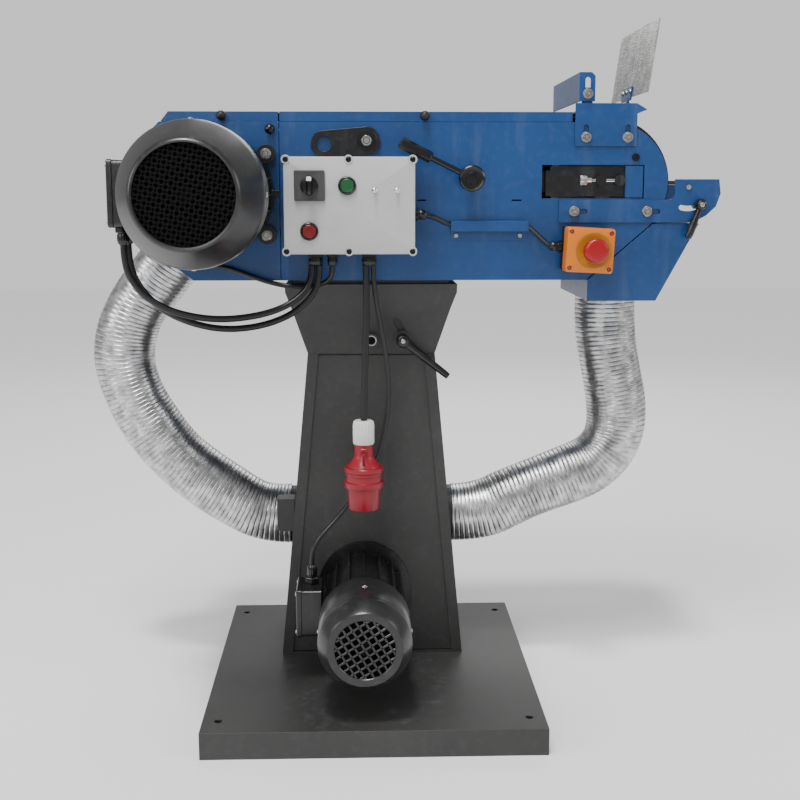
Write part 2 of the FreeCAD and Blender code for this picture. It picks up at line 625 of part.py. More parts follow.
def make_belt():
    """The belt hugs both wheels: two arcs joined by the outer common tangents."""
    drive = V(size.drive_x, 0, size.drive_height)
    contact = V(size.contact_x, 0, size.contact_height)
    span = contact - drive
    tilt = math.atan2(span.z, span.x)
    lean = math.acos((size.drive_wheel_radius - size.contact_radius) / span.Length)

    def loop(extra):
        drive_radius = size.drive_wheel_radius + extra
        contact_radius = size.contact_radius + extra
        top = math.degrees(tilt + lean)
        bottom = math.degrees(tilt - lean)
        return [on_circle(drive.x, drive.z, drive_radius, top),
                on_circle(drive.x, drive.z, drive_radius, bottom)
                + on_circle(drive.x, drive.z, drive_radius, math.degrees(tilt) + 180),
                on_circle(contact.x, contact.z, contact_radius, bottom),
                on_circle(contact.x, contact.z, contact_radius, top)
                + on_circle(contact.x, contact.z, contact_radius, math.degrees(tilt))]

    belt = front_plate("belt_band", [loop(size.belt_gap + size.belt_sheet), loop(size.belt_gap)],
                       "belt_front + belt_width", "belt_width")
    straight = span.Length * math.sin(lean)
    around = (math.pi - lean) * 2 * size.drive_wheel_radius + 2 * lean * size.contact_radius
    print("belt length %.0f" % (2 * straight + around))
    node("grinding_belt", belt)


def make_contact_arm():
    bar = box("arm_bar", 286, -6, 838.5, 130, 12, 48)
    corner = box("arm_corner", 285, -7, 880, 8, 14, 10)
    cover = box("arm_cover_strip", 416, -11, 836.5, 29, 5, 51)
    tie = box("arm_tie", 410, -6, 838.5, 20, 12, 48)
    axle = cylinder("axle_rod", "y", "contact_x", 5, "contact_height", "axle_radius", 200)
    shoulder = cylinder("axle_shoulder", "y", "contact_x", 5, "contact_height", 17, 14)
    slide = box("arm_slide", 190, 6, 845, 200, 12, 34)
    pins = []
    for x in (375, 406):
        pins.append(cylinder("tracking_pin", "y", x, -18, 864, 9, 12))
    rod = cylinder("tracking_rod", "x", 343, -15, 864, 3, 63)
    solid = fuse("arm_all", cut("arm_rounded", bar, corner), cover, tie, axle, shoulder, slide, *pins, rod)
    node("contact_arm", solid)
    nut = fuse("tracking_nut_solid", cylinder("nut_knurl", "x", 341, -15, 864, 8, 11),
               cylinder("nut_neck", "x", 351, -15, 864, 5.5, 9))
    room = cylinder("nut_bore", "x", 338, -15, 864, 3.05, 30)
    node("tracking_nut", cut("tracking_nut", nut, room))


def make_lids():
    lid("main_lid", size.seam_x + 1, size.lid_end, 87)
    lid("rear_lid", -337, size.seam_x - 1, -239)


def lid(name, x_start, x_end, knob_x):
    """A lid folded down at the front and rear, with a ball knob on its front lip."""
    wall = size.sheet_metal
    top = size.head_top
    low = size.lid_seam + 0.5
    front = size.head_front
    back = size.head_back
    profile = [(front, low), (front + wall, low), (front + wall, top - wall), (back - wall, top - wall),
               (back - wall, low), (back, low), (back, top), (front, top)]
    item = profile_along_x(name + "_channel", profile, x_start, x_end - x_start)
    if x_start < size.seam_x:
        end = box(name + "_end", x_start, front, low, 20, back - front, top - low)
        inside = front_plate(name + "_slope_inside", [[(-333, low - 1), (-316, top - wall), (-300, top - wall),
                                                      (-300, low - 1)]], 260, 269)
        corner = front_plate(name + "_slope", [[(-338, low - 1), (-324, top + 1), (-338, top + 1)]], 300, 400)
        item = cut(name + "_sheet", fuse(name + "_body", item, end), inside, corner)
    node(name, fuse(name, item, knob_shape(name + "_knob", knob_x, front, 966)))


def knob_shape(name, x, front, z):
    """A ball knob on a short collar, standing out of a front face."""
    ball = doc.addObject("Part::Sphere", name + "_ball")
    bind(ball, Radius=8)
    place(ball, x, front - 11, z)
    collar = cylinder(name + "_collar", "y", x, front - 6, z, 5, 6)
    return fuse(name, ball, collar)


def make_tension_lever():
    x, z = 161, 867
    axis = 154
    hub = cylinder("lever_hub_disc", "y", x, -62, z, 21, 22)
    neck = cylinder("lever_neck", "y", x, -41, z, "shaft_radius - 4", 50)
    rod = doc.addObject("Part::Cylinder", "lever_rod")
    bind(rod, Radius=6, Height=90)
    out = V(math.cos(math.radians(axis)), 0, math.sin(math.radians(axis)))
    rod.Placement = FreeCAD.Placement(V(x, -53, z), FreeCAD.Rotation(V(0, 0, 1), out))
    grip = doc.addObject("Part::Cylinder", "lever_grip")
    bind(grip, Radius=9.5, Height=56)
    grip.Placement = FreeCAD.Placement(V(x, -53, z) + out * 72, FreeCAD.Rotation(V(0, 0, 1), out))
    node("tension_lever", fuse("tension_lever", hub, neck, rod, grip))


# ---------------------------------------------------------------- controls
def make_controls():
    left = "box_left"
    low = "box_bottom"
    back = "head_front - box_depth"
    shell = cut("box_shell", box("box_outside", left, back, low, "box_width", "box_depth", "box_height"),
                box("box_room", "box_left + 3", "head_front - box_depth - 1", "box_bottom + 3", "box_width - 6",
                    "box_depth - 2", "box_height - 6"))
    node("control_box", shell)
    face = "head_front - box_depth - box_lid"
    plate = box("lid_plate", left, face, low, "box_width", "box_lid", "box_height")
    bosses = []
    screw_holes = []
    screws = []
    for x in (-134, -35.5, 65):
        for z in (752.5, 895.5):
            bosses.append(cylinder("lid_boss", "y", x, face, z, 7, "box_lid"))
            screw_holes.append(cylinder("lid_screw_hole", "y", x, "head_front - box_depth - box_lid - 1", z,
                                        4.2, 4))
            screws.append(cylinder("lid_screw", "y", x, "head_front - box_depth - box_lid + 0.8", z, 4.2, 2.2))
    hollow = box("lid_hollow", "box_left + 3", "head_front - box_depth - box_lid + 4", "box_bottom + 8",
                 "box_width - 6", "box_lid", "box_height - 16")
    button_holes = [cylinder("button_hole", "y", x, -100, z, "button_radius + 0.4", 40)
                    for x, z in ((-38, 855), (-98, 784))]
    switch_hole = cylinder("switch_hole", "y", -97, -100, 855, 6.4, 40)
    rim = cut("lid_rim", fuse("lid_all", plate, *bosses), hollow, *screw_holes, *button_holes, switch_hole)
    node("control_box_lid", group("control_box_lid", rim, *screws))
    switch_face = cut("switch_face", box("switch_plate", -121, -92, 831, 48, 6, 48),
                      cylinder("switch_bore", "y", -97, -100, 855, 6.4, 20))
    rings = [ring_pipe("bezel", "y", x, -91, z, "bezel_radius", "button_radius + 0.4", 5)
             for x, z in ((-38, 855), (-98, 784))]
    pins = [cylinder("chrome_pin", "y", x, -101, 848, 2.6, 15) for x in (5, 40)]
    node("control_bezels", group("control_bezels", switch_face, *rings, *pins))
    knob = cylinder("switch_disc", "y", -97, -97, 855, 14, 4.6)
    bar = box("switch_bar", -101.5, -112, 841, 9, 16, 28)
    stem = cylinder("switch_stem", "y", -97, -94, 855, 6, 24)
    node("switch_knob", fuse("switch_knob", knob, bar, stem))
    push_button("green_button", -38, 855)
    push_button("red_button", -98, 784)
    thick = size.motor_cable / 2 + 0.15
    thin = size.thin_cable / 2 + 0.15
    glands = [cable_gland("z", -90, -46, "box_bottom", -1, 13, 12, ((-6, thick), (6, thick))),
              cable_gland("z", -63, -46, "box_bottom", -1, 10, 8, ((0, thin),)),
              cable_gland("z", -4, -46, "box_bottom", -1, 12.5, 12, ((-5, thick), (7, thin))),
              cable_gland("x", "box_left + box_width", -36, 809, 1, 10, 8, ((0, thin),)),
              cable_gland("x", 310.5, -36, 758, -1, 10, 8, ((0, thin),)),
              cable_gland("x", -272, -22.5, 727, 1, 10, 8, ((0, thin),))]
    node("cable_glands", group("cable_glands", *glands))


def cable_gland(axis, x, y, z, way, nut_radius, tip_radius, bores):
    """A cable gland: a wide nut against the wall and a narrower tip, bored for each of its cables."""
    pieces = []
    holes = []
    if axis == "z":
        pieces.append(cylinder("gland_nut", "z", x, y, "%s - 10" % z, nut_radius, 10))
        pieces.append(cylinder("gland_tip", "z", x, y, "%s - 21" % z, tip_radius, 12))
        for offset, radius in bores:
            holes.append(cylinder("gland_bore", "z", x + offset, y, "%s - 22" % z, radius, 12))
    else:
        start = "%s - 10" % x if way < 0 else x
        tip = "%s - 21" % x if way < 0 else "%s + 9" % x
        bore = "%s - 22" % x if way < 0 else "%s + 10" % x
        pieces.append(cylinder("gland_nut", "x", start, y, z, nut_radius, 10))
        pieces.append(cylinder("gland_tip", "x", tip, y, z, tip_radius, 12))
        for offset, radius in bores:
            holes.append(cylinder("gland_bore", "x", bore, y, z, radius, 12))
    return cut("gland", fuse("gland_solid", *pieces), *holes)


def push_button(name, x, z):
    cap = cylinder(name + "_cap", "y", x, -93.5, z, "button_radius", 16)
    node(name, cap)


def make_emergency_stop():
    x, z = 350, 753
    turn = FreeCAD.Rotation(V(0, 1, 0), 3)
    base = tilted_block("estop_base_block", x, -44, z, 76, 32, 70, turn)
    room = tilted_block("estop_room", x, -46, z, 70, 28, 64, turn)
    node("estop_base", cut("estop_base", base, room))
    cover = tilted_block("estop_cover_block", x, -75, z, 78, 31, 72, turn)
    cover_room = tilted_block("estop_cover_room", x, -71, z, 70, 28, 64, turn)
    rise = cylinder("estop_disc", "y", x + 5, -78, z, 29, 4)
    bore = cylinder("estop_bore", "y", x + 5, -90, z, 8.5, 60)
    node("estop_cover", cut("estop_cover", fuse("estop_cover_all", cover, rise), cover_room, bore))
    stem = cylinder("mushroom_stem", "y", x + 5, -90, z, 8, 30)
    cap = cylinder("mushroom_cap", "y", x + 5, -100, z, "mushroom_radius", 13)
    dome = cone("mushroom_dome", "y", x + 5, -104, z, "mushroom_radius - 6", "mushroom_radius", 4)
    node("estop_button", fuse("estop_button", stem, cap, dome))


def tilted_block(name, x, y, z, width, depth, height, turn):
    item = doc.addObject("Part::Box", name)
    bind(item, Length=width, Width=depth, Height=height)
    corner = V(x, y, z) + turn.multVec(V(-width / 2, 0, -height / 2))
    item.Placement = FreeCAD.Placement(corner, turn)
    return item


def make_front_fittings():
    channel_x = 130
    front = size.head_front
    profile = [(front, 799), (front - 12, 799), (front - 12, 782), (front - 10.5, 782),
               (front - 10.5, 797.5), (front - 1.5, 797.5), (front - 1.5, 768), (front, 768)]
    cover = profile_along_x("channel_sheet", profile, channel_x, 127)
    screws = [cylinder("channel_screw", "y", x, front - 4, 775, 3.5, 2.5) for x in (139, 244)]
    node("cable_channel", group("cable_channel", cover, *screws))
    outline = [(-7, 949), (-76, 943), (-76, 901, -97, 922), (-7, 905), (-7, 949, 15, 927)]
    hole = ("circle", -76, 922, 12.5)
    eye = ("circle", -7, 927, 6.1)
    node("lifting_lug", front_plate("lug_plate", [outline, hole, eye], "head_front - 1", 7))
    pieces = [fuse("lug_bolt", cylinder("lug_bolt_head", "y", -7, front - 13, 927, 12, 4.5),
                   cylinder("lug_bolt_shank", "y", -7, front - 9, 927, 6, 15))]
    for x, z in clamp_places():
        pieces.append(fuse("clamp_screw", cylinder("clamp_washer", "y", x, front - 7.3, z, 8.5, 3),
                           cylinder("clamp_head", "y", x, front - 13, z, 6, 6),
                           cylinder("clamp_shank", "y", x, front - 8, z, 4, 14)))
    pieces.append(fuse("bracket_screw", cylinder("bracket_washer", "y", 351, front - 3.6, 1002, 8.5, 3),
                       cylinder("bracket_head", "y", 351, front - 9.5, 1002, 6, 6),
                       cylinder("bracket_shank", "y", 351, front - 4, 1002, 4, 11)))
    for x, z in motor_bolt_places():
        pieces.append(fuse("motor_bolt", cylinder("motor_bolt_head", "y", x, front - 23, z, 9, 9),
                           cylinder("motor_bolt_shank", "y", x, front - 15, z, 6, 20)))
    pieces.append(fuse("black_screw", cylinder("black_screw_head", "y", 432, front - 5, 901, 6.2, 5),
                       cylinder("black_screw_shank", "y", 432, front - 1, 901, 4, 8)))
    pieces.append(knob_shape("panel_knob", -162, front, 945))
    node("clamp_screws", group("clamp_screws", *pieces))


# ---------------------------------------------------------------- guards and rest
def make_guards():
    front = size.head_front
    back = size.head_back
    outline = [(331, 919), (432, 919), (432, 987), (331, 987)]
    slots = [("slot", x, 933, x, 949, 4.3) for x in (349, 417)]
    face = front_plate("guard_face", [outline] + slots, "head_front - 1", "sheet_metal")
    top = box("guard_top", 366, front - 4, 984, 66, back - front + 8, 3)
    rear = box("guard_rear", 331, back + 1, 930, 101, 3, 57)
    wing = front_plate("guard_wing", [[(431, 987), (448, 977), (431, 970)]], "head_front - 1", "sheet_metal")
    bracket = fuse("shield_post", box("shield_foot", 408, 112, 987, 30, 26, 2.5),
                   box("shield_upright", 436, 112, 987, 2.5, 26, 9))
    knuckle = cylinder("shield_knuckle", "y", 441, 112, 994, 4, 26)
    pin_hole = cylinder("shield_pin_hole", "y", 441, 100, 994, 2.05, 50)
    node("upper_guard", cut("upper_guard", fuse("guard_all", face, top, rear, wing, bracket, knuckle), pin_hole))
    plate = doc.addObject("Part::Box", "shield_plate")
    bind(plate, Length=2.5, Width=290, Height=116)
    lean = FreeCAD.Rotation(V(0, 1, 0), 7.8)
    plate.Placement = FreeCAD.Placement(V(444.4, -25, 1005), lean)
    strap = box("shield_strap", 438.5, 113.3, 999.5, 3, 23.4, 22)
    strap.Placement = FreeCAD.Placement(V(440.6, 113.3, 998.5), lean)
    for prop in ("Placement.Base.x", "Placement.Base.y", "Placement.Base.z"):
        strap.setExpression(prop, None)
    left_ear = cylinder("shield_ear_front", "y", 441, 106.7, 994, 4, 5)
    right_ear = cylinder("shield_ear_rear", "y", 441, 138.3, 994, 4, 5)
    ear_links = [box("ear_link", 440.6, y, 996, 3, 5, 6) for y in (106.7, 138.3)]
    yoke = box("shield_yoke", 440.6, 106.7, 998.8, 3, 36.6, 6)
    pin = cylinder("shield_pin", "y", 441, 106.7, 994, 2, 36.6)
    node("eye_shield", fuse("eye_shield", plate, strap, left_ear, right_ear, *ear_links, yoke, pin))
    flange = [(337, 990), (363, 990), (363, 1030), (357, 1036), (337, 1036)]
    slot = ("slot", 351, 1002, 351, 1024, 4.3)
    near = front_plate("bracket_flange", [flange, slot], "head_front + sheet_metal - 0.3", "sheet_metal")
    wall = box("bracket_wall", 337, front - 0.3, 990, 3, back - front, 46)
    node("top_bracket", fuse("top_bracket", near, wall))


def make_work_rest():
    outline = [(307, 796), (307, 833), (487, 833), (497, 843, 494, 836), (497, 866), (570, 866), (573, 843),
               (566, 822), (550, 807), (529, 796)]
    slots = [("slot", x, 814, x + 18, 814, 4.3) for x in (332, 452)]
    pivot = ("circle", 519, 853, 4.05)
    groove = arc_slot_points(519, 853, 34.4, -107, -54.5, 4.3)
    front = front_plate("rest_front", [outline, pivot, groove] + slots, "head_front - 1", "sheet_metal")
    rear = front_plate("rest_rear", [outline, pivot, groove] + slots, "head_back + 4", "sheet_metal")
    tie = box("rest_tie", 500, "head_front - 2", 800, 8, "head_back - head_front + 4", 8)
    node("rest_plates", fuse("rest_plates", front, rear, tie))
    inner_front = size.head_front - 0.5
    deck = box("rest_deck", 512, inner_front, 858, 58, size.head_back - size.head_front + 1, 6)
    tab = [(512, 860), (512, 845), (530, 818), (548, 818), (548, 860)]
    tabs = [front_plate("rest_tab", [tab], y + 4, 4) for y in (inner_front, size.head_back - 3.5)]
    pins = [cylinder("rest_pin", "y", 519, y, 853, 4, 12) for y in (size.head_front - 8, size.head_back - 4)]
    stud = cylinder("rest_stud", "y", 539, "head_front - 18", 825, 4, 22)
    node("rest_table", fuse("rest_table", deck, *tabs, *pins, stud))


make_base()
make_pillar()
make_pillar_head()
make_blower()
clamp_lever("lock_lever", 53, 0, 599, -39.6, 97, 10, 6.05)
make_saddle()
make_head_shell()
make_spark_chute()
make_main_motor()
make_belt_drive()
make_contact_arm()
make_lids()
make_tension_lever()
make_controls()
make_emergency_stop()
make_front_fittings()
make_guards()
make_work_rest()
clamp_lever("rest_lever", 539, -34.4, 825, -113, 59, 9, 4.05)

# Routes of the ducts and cords: chosen points from one end to the other.
LEFT_DUCT = [(-344, 130, 732), (-374, 130, 694), (-408, 130, 652), (-431, 130, 601), (-436, 130, 546),
             (-420, 130, 491), (-391, 130, 436), (-352, 130, 384), (-302, 130, 341), (-246, 130, 302),
             (-192, 130, 272), (-144, 130, 272)]
RIGHT_DUCT = [(415, 130, 664), (415, 130, 620), (421, 130, 571), (433, 130, 516), (443, 130, 458),
              (437, 130, 402), (400, 130, 358), (338, 130, 334), (264, 130, 306), (196, 130, 272),
              (144, 130, 272)]
CORDS = {
    "motor_cable_upper": ("motor_cable", [
        (-372, -178, 772), (-372, -178, 744), (-364, -175, 714), (-339, -166, 683), (-301, -147, 661),
        (-246, -120, 648), (-188, -94, 650), (-138, -72, 663), (-106, -56, 687), (-96, -46.5, 713),
        (-96, -46, 733)]),
    "motor_cable_lower": ("motor_cable", [
        (-372, -140, 772), (-372, -140, 744), (-363, -137, 708), (-336, -127, 672), (-296, -111, 646),
        (-240, -90, 629), (-178, -70, 632), (-126, -57, 651), (-93, -49, 681), (-84, -46, 712),
        (-84, -46, 733)]),
    "sensor_cable": ("thin_cable", [
        (-63, -46, 734), (-63, -46, 719), (-67, -43, 706), (-82, -36, 697), (-108, -31, 692),
        (-140, -29, 694), (-173, -28, 702), (-206, -26, 714), (-235, -23, 724), (-257, -22.5, 727)]),
    "power_cable": ("power_cable", [
        (-9, -46, 734), (-9, -46, 676), (-11, -46, 575), (-14, -46, 474)]),
    "blower_cable": ("thin_cable", [
        (3, -46, 734), (3, -46, 708), (8, -41, 666), (17, -31, 618), (26, -18, 566), (29, -8, 511),
        (24, -2, 456), (9, 1, 403), (-15, -3, 356), (-44, -16, 318), (-72, -34, 290), (-93, -53, 272),
        (-101, -64, 253), (-101, -65, 232)]),
    "estop_cable": ("thin_cable", [
        (84, -36, 809), (94, -35.5, 807.5), (104, -31.5, 804), (113, -26, 799.5), (122, -21, 795.5),
        (132, -18.3, 792), (146, -18, 791.2), (171, -17.8, 790.8), (205, -18.1, 791.2), (230, -17.9, 790.8),
        (248, -18.1, 790.8), (259, -20.5, 787.4), (267, -24, 780.6), (274.5, -28, 773), (281.5, -32, 765.8),
        (288.5, -35, 760), (296, -36, 758), (303, -36, 757.9)]),
}


def make_ducts_and_cords():
    node("duct_left", tube("duct_left_tube", LEFT_DUCT, size.duct_radius, size.duct_wall))
    node("duct_right", tube("duct_right_tube", RIGHT_DUCT, size.duct_radius, size.duct_wall))
    for name, (diameter, points) in CORDS.items():
        node(name, tube(name + "_tube", points, getattr(size, diameter) / 2))
    x, y = -14, -46
    nut = cut("plug_nut", cylinder("plug_nut_solid", "z", x, y, 434.2, 18, 40),
              cylinder("plug_nut_bore", "z", x, y, 430, "power_cable / 2 + 0.15", 50))
    neck = cylinder("plug_neck", "z", x, y, 414, 15.5, 20)
    shoulder = cone("plug_shoulder", "z", x, y, 396, 27, 18, 18)
    collar = cylinder("plug_collar", "z", x, y, 361, 32.5, 36)
    skirt = cone("plug_skirt", "z", x, y, 325, 25.5, 28, 37)
    hollow = cylinder("plug_hollow", "z", x, y, 324, 22.5, 42)
    pin_places = [on_circle(x, y, 14, 72 * index + 90) for index in range(5)]
    pins = [cylinder("plug_pin", "z", pin_x, pin_y, 331, 2.5, 36) for pin_x, pin_y in pin_places]
    housing = cut("plug_housing", fuse("plug_body", neck, shoulder, collar, skirt), hollow)
    node("power_plug", group("power_plug", nut, fuse("plug_with_pins", housing, *pins)))


make_ducts_and_cords()


# ---------------------------------------------------------------- checks and export
doc.recompute()
for item in doc.Objects:
    if "Invalid" in item.State or "Error" in item.State:
        raise RuntimeError("%s failed: %s" % (item.Name, item.State))
os.makedirs("parts", exist_ok=True)
for name, item in nodes.items():
    shape = item.Shape
    if shape.isNull() or not shape.isValid() or not shape.Solids:
        raise RuntimeError("%s has no valid shape" % name)
    shape.exportStep("parts/%s.step" % name)
    box_of = shape.BoundBox
    print("%-22s solids %2d volume %10.0f  X %6.0f %6.0f  Y %6.0f %6.0f  Z %6.0f %6.0f" % (
        name, len(shape.Solids), shape.Volume, box_of.XMin, box_of.XMax, box_of.YMin, box_of.YMax,
        box_of.ZMin, box_of.ZMax))
print("%d nodes" % len(nodes))
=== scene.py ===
# %% [markdown]
# # Belt grinder
# A pedestal belt grinder: a blue sheet-metal head with a motor on its left, a belt round two wheels inside
# it, and a dark stand with a blower that sucks the dust through two corrugated ducts.
# The exact frame already exists, so the first step loads it. Every later piece reads its place from there.

# %% Load the frame
import json
import math

import bmesh
import bpy
import numpy as np
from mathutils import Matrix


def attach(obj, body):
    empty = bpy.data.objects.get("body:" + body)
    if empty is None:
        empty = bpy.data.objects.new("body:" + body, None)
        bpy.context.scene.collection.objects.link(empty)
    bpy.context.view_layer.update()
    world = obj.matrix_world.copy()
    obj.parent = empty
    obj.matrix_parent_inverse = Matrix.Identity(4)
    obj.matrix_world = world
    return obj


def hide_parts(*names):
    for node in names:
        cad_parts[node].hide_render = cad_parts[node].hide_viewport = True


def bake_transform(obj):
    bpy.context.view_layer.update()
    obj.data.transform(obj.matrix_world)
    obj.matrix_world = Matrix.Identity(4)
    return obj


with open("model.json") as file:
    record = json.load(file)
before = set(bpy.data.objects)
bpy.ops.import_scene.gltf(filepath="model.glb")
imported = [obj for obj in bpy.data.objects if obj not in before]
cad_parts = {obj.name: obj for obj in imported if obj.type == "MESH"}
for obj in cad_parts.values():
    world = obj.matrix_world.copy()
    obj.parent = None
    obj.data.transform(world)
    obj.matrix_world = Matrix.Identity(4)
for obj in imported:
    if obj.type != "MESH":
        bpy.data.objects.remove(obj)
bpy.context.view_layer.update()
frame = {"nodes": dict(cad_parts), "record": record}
node_body = {node: body for body, nodes in frame["record"]["behaviour"]["bodies"].items() for node in nodes}
MM = 0.001

# %% [markdown]
# ## Camera
# A camera at working height looks down slightly, as a person two metres away would. The lens is long enough
# to keep the head's front square; a longer one further back would flatten the base's top.

# %% Camera
lens = bpy.data.cameras.new("viewpoint")
lens.lens = 56.0
lens.sensor_width = 36.0
camera = bpy.data.objects.new("viewpoint", lens)
camera.location = (-0.0194, -2.065, 0.845)
camera.rotation_euler = (math.radians(90 - 9.48), 0, math.radians(-1.86))
bpy.context.collection.objects.link(camera)
bpy.context.scene.camera = camera
print("camera", tuple(camera.location))

# %% [markdown]
# ## Shader arithmetic
# A finish is a small calculation over the surface. Wiring each Math node by hand hides the formula, so a
# small class wraps a socket and lets Python's own operators add the nodes. A second class holds one
# material and makes any other node.

# %% Socket arithmetic and the finish builder
class Value:
    """A number that varies over the surface; operators on it add Math nodes."""

    def __init__(self, finish, socket):
        self.finish = finish
        self.socket = socket

    def math(self, operation, first, second):
        return self.finish.add("ShaderNodeMath", {"operation": operation}, {0: first, 1: second})

    def __add__(self, other):
        return self.math("ADD", self, other)

    def __rsub__(self, other):
        return self.math("SUBTRACT", other, self)

    def __mul__(self, other):
        return self.math("MULTIPLY", self, other)

    __radd__ = __add__
    __rmul__ = __mul__

    def between(self, low, high):
        """0 below low, 1 above high, straight between."""
        ends = {"From Min": low, "From Max": high}
        return self.finish.add("ShaderNodeMapRange", {"clamp": True}, {"Value": self, **ends})


class Finish:
    """One material: its nodes, its noise and its Principled shader."""

    def __init__(self, name, color, rough, metal=0.0, **constants):
        self.material = bpy.data.materials.new(name)
        self.material.use_nodes = True
        self.material.diffuse_color = (*color, 1)
        self.tree = self.material.node_tree
        self.shader = self.tree.nodes["Principled BSDF"]
        self.set("Base Color", color)
        self.set("Roughness", rough)
        self.set("Metallic", metal)
        for socket, value in constants.items():
            self.set(socket.replace("_", " "), value)
        self.place = self.add("ShaderNodeTexCoord", {}, {}, "Object")

    def set(self, socket, value, node=None):
        target = (node or self.shader).inputs[socket]
        if isinstance(value, Value):
            self.tree.links.new(value.socket, target)
        elif isinstance(value, (tuple, list)):
            is_color = len(target.default_value) == 4 and len(value) == 3
            target.default_value = (*value, 1) if is_color else value
        else:
            target.default_value = value

    def add(self, kind, settings, inputs, output=0):
        node = self.tree.nodes.new(kind)
        for setting, value in settings.items():
            setattr(node, setting, value)
        for socket, value in inputs.items():
            self.set(socket, value, node)
        return Value(self, node.outputs[output])

    def noise(self, size, detail=3.0, stretch=(1, 1, 1), rough=0.5):
        """Noise whose features are about size metres across, longer along the axes with a small stretch."""
        place = self.add("ShaderNodeMapping", {}, {"Vector": self.place, "Scale": stretch})
        inputs = {"Vector": place, "Scale": 1 / size, "Detail": detail, "Roughness": rough}
        return self.add("ShaderNodeTexNoise", {}, inputs, "Fac")

    def blend(self, amount, first, second):
        inputs = {"Factor": amount, 6: first, 7: second}
        return self.add("ShaderNodeMix", {"data_type": "RGBA"}, inputs, 2)

    def bump(self, height, depth):
        """Turns a height of 0 to 1 into a tilt of the surface; depth is the real height in metres."""
        self.set("Normal", self.add("ShaderNodeBump", {}, {"Height": height, "Distance": depth}))


def shade(color, factor):
    return tuple(min(1.0, channel * factor) for channel in color)


print("finish builder ready")

# %% [markdown]
# ## Finishes
# The head is wet-look blue enamel over folded sheet: smooth with faint orange peel, soft dust and a few long
# rubs. The stand is a charcoal powder coat, rougher and grainier. Both are the same idea at two scales, so
# one function makes them. Bare metal, moulded plastic, rubber and foil follow, each with its own grain.

# %% Painted metal
def painted(name, color, rough, peel_size, peel_depth, coat=0.0):
    """Paint: peel bumps of a given size, cloudy colour, and rubs that are lighter and rougher."""
    paint = Finish(name, color, rough, Coat_Weight=coat, Coat_Roughness=0.15)
    cloud = paint.noise(0.16, 4)
    rubs = paint.noise(0.03, 5, (1, 1, 0.12)).between(0.60, 0.78)
    dust = paint.noise(0.012, 6).between(0.52, 0.85)
    base = paint.blend(cloud.between(0.3, 0.7), shade(color, 0.82), shade(color, 1.14))
    paint.set("Base Color", paint.blend(rubs * 0.05 + dust * 0.04, base, (0.42, 0.45, 0.48)))
    paint.set("Roughness", rough + rubs * 0.10 + dust * 0.12 + cloud * 0.05)
    paint.bump(paint.noise(peel_size, 2) + paint.noise(peel_size * 5, 2) * 0.6, peel_depth)
    return paint.material


blue_enamel = painted("blue_enamel", (0.003, 0.046, 0.170), 0.30, 0.0016, 0.00008, 0.25)
charcoal_coat = painted("charcoal_coat", (0.030, 0.029, 0.028), 0.46, 0.0008, 0.00010)
motor_enamel = painted("motor_enamel", (0.006, 0.006, 0.007), 0.28, 0.0012, 0.00016, 0.15)
cowl_coat = painted("cowl_coat", (0.012, 0.012, 0.012), 0.27, 0.0014, 0.00006, 0.10)
lever_black = painted("lever_black", (0.005, 0.005, 0.006), 0.26, 0.0011, 0.00007, 0.10)
print("paints made")

# %% Bare metal
def bare_metal(name, color, rough, grain=(1, 1, 1), grain_depth=0.00003):
    """Metal with a fine grain along one axis, faint stains and fingerprints in its gloss."""
    metal = Finish(name, color, rough, 1.0)
    grain_lines = metal.noise(0.0012, 4, grain)
    stain = metal.noise(0.02, 5).between(0.45, 0.8)
    metal.set("Base Color", metal.blend(stain * 0.5, color, shade(color, 0.62)))
    metal.set("Roughness", rough + stain * 0.18 + grain_lines * 0.08)
    metal.bump(grain_lines, grain_depth)
    return metal.material


zinc = bare_metal("zinc", (0.50, 0.49, 0.46), 0.22)
bright_chrome = bare_metal("bright_chrome", (0.80, 0.80, 0.82), 0.07, grain_depth=0.000004)
ground_steel = bare_metal("ground_steel", (0.42, 0.42, 0.43), 0.34, (1, 0.05, 1))
turned_aluminium = bare_metal("turned_aluminium", (0.66, 0.67, 0.69), 0.32, (1, 0.05, 1))
print("metals made")

# %% Duct foil, plastics, rubber, abrasive and the clear shield
def duct_foil_finish():
    """Thin foil: bright, with dents from handling that crease along the tube and across its ribs; the dents
    also darken and lighten its colour, a painted sheen where they would catch the light.
    """
    foil = Finish("duct_foil", (0.62, 0.62, 0.63), 0.22, 1.0)
    dents_and_sheen = foil.noise(0.018, 4)
    creases = foil.noise(0.005, 3)
    # Painted sheen: the dent noise turns the foil's colour from dark grey to light grey.
    foil.set("Base Color", foil.blend(dents_and_sheen.between(0.35, 0.7), (0.34, 0.34, 0.34), (0.74, 0.74, 0.74)))
    foil.set("Roughness", 0.24 + creases * 0.16)
    foil.bump(dents_and_sheen + creases * 0.2, 0.0003)
    return foil.material


def moulded(name, color, rough, grain_depth=0.00004, **constants):
    """Moulded plastic: a fine spark-eroded grain and a slightly uneven gloss."""
    plastic = Finish(name, color, rough, **constants)
    grain = plastic.noise(0.0007, 2)
    handling = plastic.noise(0.025, 4).between(0.4, 0.75)
    plastic.set("Base Color", plastic.blend(handling * 0.5, color, shade(color, 0.86)))
    plastic.set("Roughness", rough + handling * 0.12)
    plastic.bump(grain, grain_depth)
    return plastic.material


def abrasive_finish():
    """Coated abrasive: brown cloth with packed grit that sparkles a little and is darker where it has cut."""
    cloth = Finish("abrasive_cloth", (0.020, 0.014, 0.012), 0.85)
    grit = cloth.noise(0.0006, 2, rough=0.8)
    used = cloth.noise(0.05, 3, (0.1, 1, 0.1))
    color = cloth.blend(grit.between(0.35, 0.7), (0.010, 0.007, 0.006), (0.075, 0.045, 0.032))
    cloth.set("Base Color", cloth.blend(used.between(0.4, 0.7) * 0.6, color, (0.008, 0.007, 0.007)))
    cloth.set("Roughness", 0.95 - grit * 0.25)
    cloth.bump(grit, 0.0004)
    return cloth.material


